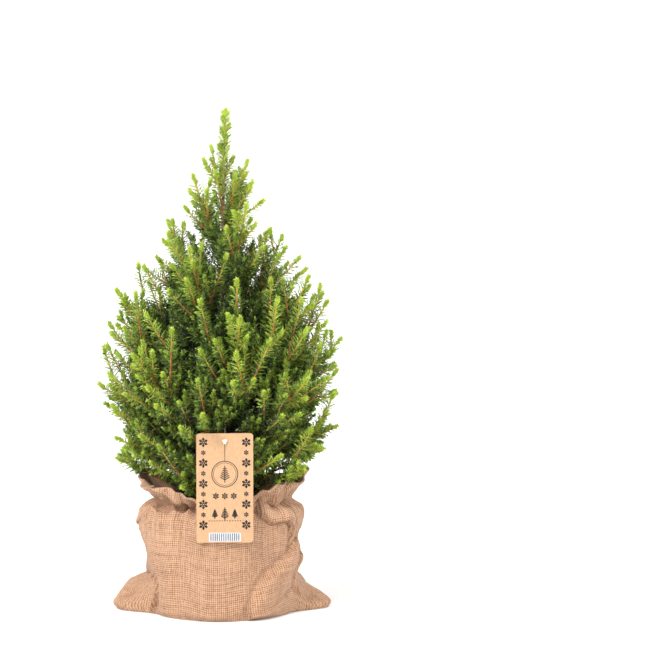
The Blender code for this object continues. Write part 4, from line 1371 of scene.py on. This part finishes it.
# %% Pleats, creases and puffs
CREASES = (
    (((24.0, 116.0), (31.0, 106.0), (37.0, 99.0), (50.0, 101.0), (57.0, 93.0), (59.0, 74.0)), 5.2, 6.4),
    (((64.0, 72.0), (46.0, 54.0), (29.0, 34.0), (21.0, 10.0)), 13.0, 5.4),
    (((76.0, 56.0), (66.0, 38.0), (72.0, 22.0)), 5.0, 3.2),
    (((58.0, 22.0), (40.0, 12.0), (24.0, 6.0)), 6.0, 2.0),
    (((-64.0, 38.0), (-61.0, 22.0), (-66.0, 2.0)), 5.0, -5.0),
    (((-88.0, 107.0), (-66.0, 112.0), (-46.0, 109.0), (-28.0, 111.0)), 4.6, -4.4),
    (((-80.0, 92.0), (-70.0, 100.0), (-60.0, 108.0)), 3.6, 2.2),
    (((-74.0, 84.0), (-62.0, 70.0), (-64.0, 52.0)), 8.0, 2.6),
    (((-72.0, 142.0), (-57.0, 128.0), (-40.0, 117.0)), 5.0, 5.0),
    (((-54.0, 132.0), (-42.0, 122.0), (-26.0, 115.0)), 4.4, 4.2),
    (((72.0, 143.0), (55.0, 127.0), (38.0, 117.0)), 5.0, 5.4),
    (((48.0, 130.0), (36.0, 121.0), (22.0, 116.0)), 4.2, 4.0),
    (((-108.0, 40.0), (-98.0, 26.0), (-104.0, 8.0)), 5.0, 3.2),
    (((108.0, 42.0), (98.0, 28.0), (104.0, 8.0)), 5.0, 3.2),
)
PUFFS = (
    (-83.0, 20.0, 11.0, 7.0, -9.0),
    (-52.0, 20.0, 15.0, 20.0, 3.2),
    (80.0, 15.0, 10.0, 7.0, -6.0),
    (56.0, 105.0, 13.0, 6.0, 2.8),
    (84.0, 75.0, 16.0, 8.0, -2.6),
    (78.0, 54.0, 14.0, 8.0, 2.4),
    (-18.0, 60.0, 34.0, 30.0, 1.5),
)
BACK_CREASES = 9
ROUND_MM = 1.47
LAP_SHARE = 0.5
TAG_ROOM = 89.0

front_angle = (np.degrees(around) + 90.0 + 180.0) % 360.0 - 180.0


def pleat_lift(height):
    """How far the pleats at the waist lift or sink the cloth."""
    rng = random.Random(41)
    lift = np.zeros_like(height)
    angle = 0.0
    while angle < 356.0:
        width = rng.uniform(2.0, 4.2)
        depth = rng.uniform(1.6, 4.2)
        drift_below, drift_above = rng.uniform(-0.14, 0.14), rng.uniform(-0.5, 0.5)
        run = rng.uniform(10.0, 32.0)
        below = np.maximum(WAIST - height, 0.0)
        above = np.maximum(height - WAIST, 0.0)
        strength = np.exp(-(below / run) ** 2) * (1.0 - 0.8 * np.minimum(above / 16.0, 1.0))
        middle = angle - drift_below * below + drift_above * above
        off = (np.degrees(around)[None, :] - middle + 180.0) % 360.0 - 180.0
        groove = np.exp(-(off / width) ** 2) - 0.6 * np.exp(-((off - 1.7 * width) / width) ** 2)
        lift -= depth * strength * groove
        angle += rng.uniform(8.0, 16.0)
    return lift


def place_on_cloth(angle, level, height):
    """How far the cloth's points lie sideways and upwards from a place, in millimetres."""
    sideways = (front_angle[None, :] - angle + 180.0) % 360.0 - 180.0
    return sideways * ROUND_MM + 0.0 * height, height - level


def crease_lift(height, line, width, depth):
    """Lift, sideways and upward shift: the cloth stands up on one side of a line and laps over it."""
    nearest = np.full(height.shape, 1e9)
    signed = np.zeros(height.shape)
    lap_x = np.zeros(height.shape)
    lap_z = np.zeros(height.shape)
    for (a0, z0), (a1, z1) in zip(line, line[1:]):
        off_x, off_z = place_on_cloth(a0, z0, height)
        way_x, way_z = (a1 - a0) * ROUND_MM, z1 - z0
        part = np.clip((off_x * way_x + off_z * way_z) / (way_x ** 2 + way_z ** 2), 0.0, 1.0)
        gap = np.hypot(off_x - part * way_x, off_z - part * way_z)
        side = np.sign(way_x * off_z - way_z * off_x)
        closer = gap < nearest
        signed = np.where(closer, gap * side, signed)
        lap_x = np.where(closer, way_z / math.hypot(way_x, way_z), lap_x)
        lap_z = np.where(closer, -way_x / math.hypot(way_x, way_z), lap_z)
        nearest = np.minimum(nearest, gap)
    step = 0.5 + 0.5 * np.tanh(signed / (0.2 * width))
    ridge = step * np.exp(-(np.maximum(nearest - 0.2 * width, 0.0) / (1.5 * width)) ** 2)
    groove = np.exp(-((signed + 0.35 * width) / (0.4 * width)) ** 2)
    lap = LAP_SHARE * abs(depth) * step * np.exp(-(nearest / (0.6 * width)) ** 2)
    return depth * (ridge - 0.6 * groove), lap * lap_x, lap * lap_z


def back_creases():
    """Creases round the back, dealt by a seeded rule."""
    rng = random.Random(8)
    found = []
    for _ in range(BACK_CREASES):
        angle, top = rng.uniform(118.0, 242.0), rng.uniform(50.0, 104.0)
        turn, drop = rng.uniform(-22.0, 22.0), rng.uniform(24.0, 44.0)
        line = ((angle, top), (angle + turn * 0.7, top - drop * 0.4), (angle + turn, top - drop))
        found.append((line, rng.uniform(5.0, 9.0), rng.uniform(2.0, 4.0)))
    return found


def cloth_shift(rows):
    """How far each point of the cloth moves off the smooth loft: outwards, sideways and upwards."""
    height = rows[:, :, 2]
    lift = pleat_lift(height)
    sideways = np.zeros_like(lift)
    upwards = np.zeros_like(lift)
    for line, width, depth in CREASES + tuple(back_creases()):
        rise, shift, climb = crease_lift(height, line, width, depth)
        lift += rise
        sideways += shift
        upwards += climb
    for angle, level, half_width, half_height, rise in PUFFS:
        off_x, off_z = place_on_cloth(angle, level, height)
        lift += rise * np.exp(-(off_x / half_width) ** 2 - (off_z / half_height) ** 2)
    for size, amount in ((34.0, 2.2), (13.0, 1.0), (5.0, 0.3)):
        for i, row in enumerate(rows):
            lift[i] += [amount * noise.noise(Vector(point / size)) for point in row]
    return [part * ease(0.0, 7.0, height) for part in (lift, sideways, upwards)]


print(len(CREASES), "creases and", len(PUFFS), "puffs by sight,", BACK_CREASES, "seeded ones behind")

# %% [markdown]
# Burlap is a plain weave of thick jute yarns, so loose that each crossing leaves a hole. The
# weave is drawn on the cloth's own lengthways and crossways measure, in millimetres: two sine
# waves make the yarns, their product says which one lies on top, and where both are thin there is
# a hole. The colour darkens where the weave is low, so the holes and the dips between the yarns
# carry painted shade. A real thread of 1.2 millimetres and its gap would blur at this distance,
# so the pitch is drawn at 2.15 millimetres, close to what the photograph shows.

# %% Burlap material


def jute_burlap():
    """Woven jute: matt yarns of two sandy tones, darkened in the holes between them as painted shade."""
    material, shader = start_material("woven_jute_burlap", 0.92, 1.5)
    shader.inputs["Sheen Weight"].default_value = 0.08
    shader.inputs["Sheen Roughness"].default_value = 0.6

    def math_node(kind, first, second=0.0):
        node = add_node(material, "ShaderNodeMath", settings={"operation": kind})
        for socket, value in zip(node.inputs, (first, second)):
            if isinstance(value, float):
                socket.default_value = value
            else:
                material.node_tree.links.new(value, socket)
        return node.outputs[0]

    def about_zero(grain, amount):
        return math_node("MULTIPLY", math_node("SUBTRACT", grain, 0.5), amount)

    place = object_place(material)
    cloth = add_node(material, "ShaderNodeTexCoord").outputs["UV"]
    split = add_node(material, "ShaderNodeSeparateXYZ", links={"Vector": cloth}).outputs
    shift = about_zero(noise_node(material, 22.0, 2.0, place), 5.0)
    turns = math.pi / (THREAD_PITCH * MM)
    warp, weft = [math_node("SINE", math_node("ADD", math_node("MULTIPLY", split[axis], turns), shift))
                  for axis in "XY"]
    over = math_node("MULTIPLY", math_node("MULTIPLY", warp, weft), 0.4)
    warp_yarn = math_node("MULTIPLY", math_node("ABSOLUTE", warp), math_node("ADD", over, 1.0))
    weft_yarn = math_node("MULTIPLY", math_node("ABSOLUTE", weft), math_node("SUBTRACT", 1.0, over))
    relief = math_node("MAXIMUM", warp_yarn, weft_yarn)
    uneven = math_node("ADD", relief, about_zero(noise_node(material, 3.2, 4.0, place), 0.85))
    for across, along in ((YARN_WIDTH, YARN_RUN), (YARN_RUN, YARN_WIDTH)):
        one_yarn = add_node(material, "ShaderNodeMapping", links={"Vector": cloth},
                            values={"Scale": (1.0 / (across * MM), 1.0 / (along * MM), 1.0)})
        streak = noise_node(material, 1.0 / MM, 2.0, one_yarn.outputs["Vector"])
        uneven = math_node("ADD", uneven, about_zero(streak, 0.8))
    # The ramp is darkest where the weave is lowest: painted shade in the holes and between the yarns.
    tone = ramp_node(material, uneven, (0.34, "7C583E"), (0.72, "936B50"), (1.0, "C09878"))
    stain = add_node(material, "ShaderNodeMapRange", values={"To Min": 0.86, "To Max": 1.1},
                     links={"Value": noise_node(material, 42.0, 2.0, place)})
    colour = shaded(material, tone, stain.outputs["Result"])
    return finish_material(material, shader, colour, uneven, 0.55, 0.5)


# %% [markdown]
# The rows are then walked once round the cloth's own section: out along the bottom, up the
# outside, over the hem, down the inside and in along the floor. So the cloth is one closed body
# with its real thickness, thicker at the turned hem. The cloth's measure goes on the corners of
# its faces, so the last column can end at the full width of the cloth and no seam shows.

# %% Make the sack


def grid_normals(rows):
    """Outward unit normals of a closed round grid."""
    along = np.gradient(rows, axis=0)
    across = np.roll(rows, -1, axis=1) - np.roll(rows, 1, axis=1)
    return unit(np.cross(across, along))


def folded_rows():
    """The outside of the cloth with all its folds, kept clear of the tag."""
    lift, sideways, upwards = cloth_shift(sack_rows)
    rows = sack_rows + grid_normals(sack_rows) * lift[:, :, None] + UP * upwards[:, :, None]
    rows += np.stack([-np.sin(around), np.cos(around), 0.0 * around], axis=-1) * sideways[:, :, None]
    rise = ease(WAIST, HEM_FRONT + 6.0, sack_rows[:, :, 2])
    sway = 2.6 * np.sin(7.0 * around + 2.0) + 1.4 * np.sin(12.0 * around)
    rows = rows + unit(rows * (1.0, 1.0, 0.0)) * (rise * sway)[:, :, None]
    lifted = 6.0 * np.exp(-((front_angle - 38.0) / 22.0) ** 2)
    lifted = lifted + 4.0 * np.exp(-((front_angle + 46.0) / 15.0) ** 2)
    rows[:, :, 2] += rise * (1.3 * np.sin(8.0 * around + 0.5) + lifted)
    behind_tag = abs(rows[:, :, 0] - TAG_CENTRE_X) < TAG_WIDTH / 2.0 + 4.0
    behind_tag &= rows[:, :, 2] > TAG_BOTTOM - 4.0
    rows[:, :, 1] = np.where(behind_tag, np.maximum(rows[:, :, 1], -TAG_ROOM), rows[:, :, 1])
    rows[:, :, 2] = np.maximum(rows[:, :, 2], 0.0)
    return rows


def cloth_section(rows):
    """The closed walk round the cloth: bottom, outside, hem, inside and floor."""
    normals = grid_normals(rows)
    bottom = [rows[0] * (scale, scale, 0.0) for scale in (0.03, 0.25, 0.5, 0.75, 0.93)]
    from_rim = (len(rows) - 1 - np.arange(len(rows))) * SACK_ROW
    thick = CLOTH_THICK + (HEM_THICK - CLOTH_THICK) * (1.0 - ease(HEM_DEEP - 1.5, HEM_DEEP, from_rim))
    inside = rows - normals * thick[:, None, None]
    inside[:, :, 2] = np.maximum(inside[:, :, 2], CLOTH_THICK)
    lip = (rows[-1] + inside[-1]) / 2.0 + UP * 0.6
    near_rim = [inside[i] for i in range(len(rows) - 1, len(rows) - 20, -1)]
    lower = [inside[i] for i in range(len(rows) - 21, 0, -2)]
    floor = [inside[1] * (scale, scale, 0.0) + UP * SACK_FLOOR for scale in (0.93, 0.6, 0.3, 0.03)]
    return np.array(bottom + list(rows) + [lip] + near_rim + lower + floor)


def make_sack():
    """The sack as one closed cloth body with its own lengthways and crossways measure."""
    grid = cloth_section(folded_rows())
    steps = np.linalg.norm(np.diff(grid, axis=0), axis=2)
    measure = np.cumsum(np.concatenate([[np.zeros(SACK_COLUMNS)], steps]), axis=0) * MM
    column = CLOTH_ROUND * MM / SACK_COLUMNS
    faces, places = [], []
    for i in range(len(grid) - 1):
        row, after = i * SACK_COLUMNS, (i + 1) * SACK_COLUMNS
        for k in range(SACK_COLUMNS):
            n = (k + 1) % SACK_COLUMNS
            faces.append((row + k, row + n, after + n, after + k))
            left, right = column * k, column * (k + 1)
            places += [(left, measure[i, k]), (right, measure[i, n])]
            places += [(right, measure[i + 1, n]), (left, measure[i + 1, k])]
    last = (len(grid) - 1) * SACK_COLUMNS
    faces.append(tuple(reversed(range(SACK_COLUMNS))))
    faces.append(tuple(range(last, last + SACK_COLUMNS)))
    places += [(0.0, 0.0)] * (2 * SACK_COLUMNS)
    mesh = bpy.data.meshes.new("burlap_sack")
    mesh.from_pydata((grid.reshape(-1, 3) * MM).tolist(), [], faces)
    cloth = mesh.uv_layers.new(name="cloth")
    cloth.data.foreach_set("uv", np.array(places, np.float32).ravel())
    mesh.shade_smooth()
    sack = link_mesh(mesh, "burlap_sack", jute_burlap())
    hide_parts("sack")
    return sack


sack = make_sack()
print(sack.name, triangles_of(sack), "triangles")

# %% [markdown]
# The hang tag is punched from kraft card. The card keeps the solid's own shape. Its print is a
# plain winter design: a border of six-armed snow crystals down each edge, a ring with a fir
# sprig, three crystals, three firs on a dashed line, and a pale strip with even grey bars. Print
# is a film of ink, so each mark is a very thin solid on the card.

# %% Tag
INK_THICK = 0.08
INK_LIFT = 0.02
CRYSTAL_ARM = 4.7
CRYSTAL_LINE = 1.15
PRINT_MARGIN = 7.0
BORDER_STEP = 10.4
RING_MIDDLE = 14.0
RING_RADIUS = 13.0
GROUND_LINE = -33.0
INKS = (("black", "0C0B0B", "171514"), ("grey", "55585F", "6C6F76"), ("white", "BDBFC4", "CDCFD3"))


def kraft_card():
    """Unbleached kraft board: warm, matt, with short darker and lighter fibres pressed flat."""
    material, shader = start_material("pressed_kraft_board", 0.78, 1.5)
    stretch = add_node(material, "ShaderNodeMapping", values={"Scale": (1.0, 1.0, 0.35)},
                       links={"Vector": object_place(material)})
    fibre = noise_node(material, 1.6, 6.0, stretch.outputs["Vector"], 0.7)
    tone = ramp_node(material, fibre, (0.3, "B28B66"), (0.62, "C39C76"))
    return finish_material(material, shader, tone, fibre, 0.25, 0.05)


def ink_bar(start, end, width):
    """A flat bar of ink between two places on the card, as a thin box; places are across and up."""
    start, end = np.array(start, float), np.array(end, float)
    way = end - start
    side = np.array((-way[1], way[0])) / max(float(np.hypot(*way)), 1e-6) * width / 2.0
    flat = [start - side, end - side, end + side, start + side]
    middle_x, middle_z = TAG_CENTRE_X, TAG_BOTTOM + TAG_HEIGHT / 2.0
    back, front = TAG_FRONT - INK_LIFT, TAG_FRONT - INK_LIFT - INK_THICK
    points = [(middle_x + x, y, middle_z + z) for y in (back, front) for x, z in flat]
    faces = [(0, 3, 2), (0, 2, 1), (4, 5, 6), (4, 6, 7)]
    for k in range(4):
        n = (k + 1) % 4
        faces += [(k, n, 4 + n), (k, 4 + n, 4 + k)]
    return np.array(points), np.array(faces)


def crystal(x, z, size):
    """A snow crystal: six arms, each with two pairs of short branches."""
    bars = []
    for k in range(6):
        angle = math.radians(60.0 * k + 30.0)
        way = np.array((math.cos(angle), math.sin(angle)))
        root, tip = np.array((x, z)) + way * size * 0.12, np.array((x, z)) + way * size
        bars.append(ink_bar(root, tip, CRYSTAL_LINE * size / CRYSTAL_ARM))
        for share, long in ((0.45, 0.34), (0.72, 0.24)):
            for turn in (-1.0, 1.0):
                lean = angle + turn * math.radians(52.0)
                end = np.array((x, z)) + way * size * share
                far = end + np.array((math.cos(lean), math.sin(lean))) * size * long
                bars.append(ink_bar(end, far, CRYSTAL_LINE * 0.8 * size / CRYSTAL_ARM))
    return bars


def ink_ring(x, z, radius, width, steps):
    """A circle of ink made of short bars."""
    bars = []
    for k in range(steps):
        a, b = 2.0 * math.pi * k / steps, 2.0 * math.pi * (k + 1.04) / steps
        bars.append(ink_bar((x + radius * math.cos(a), z + radius * math.sin(a)),
                            (x + radius * math.cos(b), z + radius * math.sin(b)), width))
    return bars


def fir_sprig(x, z, height):
    """A sprig: one upright stem with pairs of needles that shorten towards the tip."""
    bars = [ink_bar((x, z - height / 2.0), (x, z + height / 2.0), 0.9)]
    for k in range(6):
        root = z - height * 0.34 + height * 0.75 * k / 6.0
        long = height * blend(0.36, 0.12, k / 5.0)
        for side in (-1.0, 1.0):
            bars.append(ink_bar((x, root), (x + side * long * 0.8, root + long * 0.5), 0.95))
    return bars


def print_design():
    """The dark marks of the print, in millimetres from the card's middle."""
    edge = TAG_WIDTH / 2.0 - PRINT_MARGIN
    bars = []
    for step in range(9):
        z = 46.0 - BORDER_STEP * step
        large = step % 2 == 0
        for side in (-1.0, 1.0):
            bars += crystal(side * edge, z, CRYSTAL_ARM if large else 0.55 * CRYSTAL_ARM)
    bars += ink_ring(0.0, RING_MIDDLE, RING_RADIUS, 0.8, 60)
    bars += ink_ring(0.0, RING_MIDDLE, RING_RADIUS - 1.7, 0.4, 60)
    bars += fir_sprig(0.0, RING_MIDDLE, 17.0)
    for x in (-9.0, 0.0, 9.0):
        bars += crystal(x, RING_MIDDLE - RING_RADIUS - 9.0, 0.7 * CRYSTAL_ARM)
    for x in (-10.0, 0.0, 10.0):
        bars += fir_sprig(x, GROUND_LINE + 7.0, 13.0 if x == 0.0 else 10.0)
    for k in range(13):
        x = -15.6 + 2.6 * k
        bars.append(ink_bar((x - 0.8, GROUND_LINE), (x + 0.8, GROUND_LINE), 0.7))
    bars.append(ink_bar((0.0, 46.0), (0.0, RING_MIDDLE + RING_RADIUS), 0.6))
    return bars


def make_tag():
    """Kraft card on the solid, with ink marks and a pale strip with bars."""
    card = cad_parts["tag"]
    card.data.materials.clear()
    card.data.materials.append(kraft_card())
    black, grey, white = [two_tone_material("offset_ink_" + name, dark, light, 0.5, 1.5, 4.0, 0.01)
                          for name, dark, light in INKS]
    strip_low, strip_high = -TAG_HEIGHT / 2.0 + 1.2, -TAG_HEIGHT / 2.0 + 10.0
    middle = (strip_low + strip_high) / 2.0
    strip = [ink_bar((-16.0, middle), (16.0, middle), strip_high - strip_low)]
    stripes = []
    for k in range(14):
        x = -14.0 + 28.0 * k / 13.0
        points, faces = ink_bar((x, strip_low + 0.6), (x, strip_high - 0.6), 1.1)
        stripes.append((points - (0.0, INK_THICK, 0.0), faces))
    for name, bars, ink in (("tag_print_dark", print_design(), black), ("tag_print_strip", strip, white),
                            ("tag_print_bars", stripes, grey)):
        points, faces = join_arrays(bars)
        piece = mesh_from_arrays(name, points, faces, ink, False)
        print(name, len(bars), "marks")


make_tag()

# %% [markdown]
# A two-ply cotton string carries the tag: it goes from a small knot in front of the card back
# through the hole and round the trunk. Twisted yarn is two strands that wind round one path, so
# that is how it is made, along the same route as the solid's: its ring lies at the height where
# ring and run are furthest from all the limbs.

# %% String
STRING_RADIUS = 0.8
RING_HEIGHT = 211.5
KNOT_RADIUS = 2.9
KNOT_SEAT = 2.0
PLY_PITCH = 4.2
RING_SPARE = 0.25


def twisted(path, guide):
    """Two strands wound round a path."""
    length = path_length(path)
    s = np.linspace(0.0, length, max(8, round(length / 0.6)))
    points, ahead = point_on(path, s)
    across, over = square_to(ahead, guide)
    strands = []
    for phase in (0.0, math.pi):
        turn = 2.0 * math.pi * s / PLY_PITCH + phase
        offset = across * np.cos(turn)[:, None] + over * np.sin(turn)[:, None]
        strand = points + offset * STRING_RADIUS * 0.46
        strands.append(tube_arrays(strand, np.full(len(s), STRING_RADIUS * 0.54), 6, guide=guide))
    return strands


def make_string():
    """Knot, run and ring of twisted cotton."""
    centre = trunk_centre(RING_HEIGHT)
    ring_radius = float(trunk_radius(RING_HEIGHT)) + CLEARANCE + STRING_RADIUS
    front = np.array((TAG_CENTRE_X, TAG_FRONT - KNOT_SEAT, HOLE_HEIGHT))
    behind = np.array((TAG_CENTRE_X, TAG_FRONT + 5.0, HOLE_HEIGHT))
    end = np.array((centre[0], centre[1] - ring_radius, RING_HEIGHT))
    u = np.linspace(0.0, 1.0, 26)[:, None]
    run = behind + (end - behind) * u - UP * STRING_SAG * np.sin(np.pi * u)
    parts = twisted(np.concatenate([[front], run]), LEVEL)
    angles = np.linspace(0.0, 2.0 * np.pi, 60)
    circle = np.stack([np.cos(angles), np.sin(angles), 0.0 * angles], axis=-1)
    parts += twisted(centre + circle * (ring_radius + RING_SPARE), UP)
    t = np.linspace(0.0, 2.0 * np.pi, 90)
    loops = [np.sin(t) + 2.0 * np.sin(2.0 * t), -0.9 * np.sin(3.0 * t), np.cos(t) - 2.0 * np.cos(2.0 * t)]
    loops = np.stack(loops, axis=-1) * (KNOT_RADIUS - STRING_RADIUS) / 3.0
    parts += twisted(front + loops, np.array((0.0, 1.0, 0.0)))
    measured = [path_length(run), 2.0 * math.pi * ring_radius, path_length(loops)]
    print("string's run, ring and knot in mm", [round(part) for part in measured])
    points, faces = join_arrays(parts)
    cotton = two_tone_material("twisted_cotton", "E9E0CC", "F8F3E6", 0.85, 1.5, 1.2, 0.1)
    piece = mesh_from_arrays("cotton_tag_string", points, faces, cotton, True)
    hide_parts("tag_string")
    return piece


string = make_string()
print(string.name, triangles_of(string), "triangles")
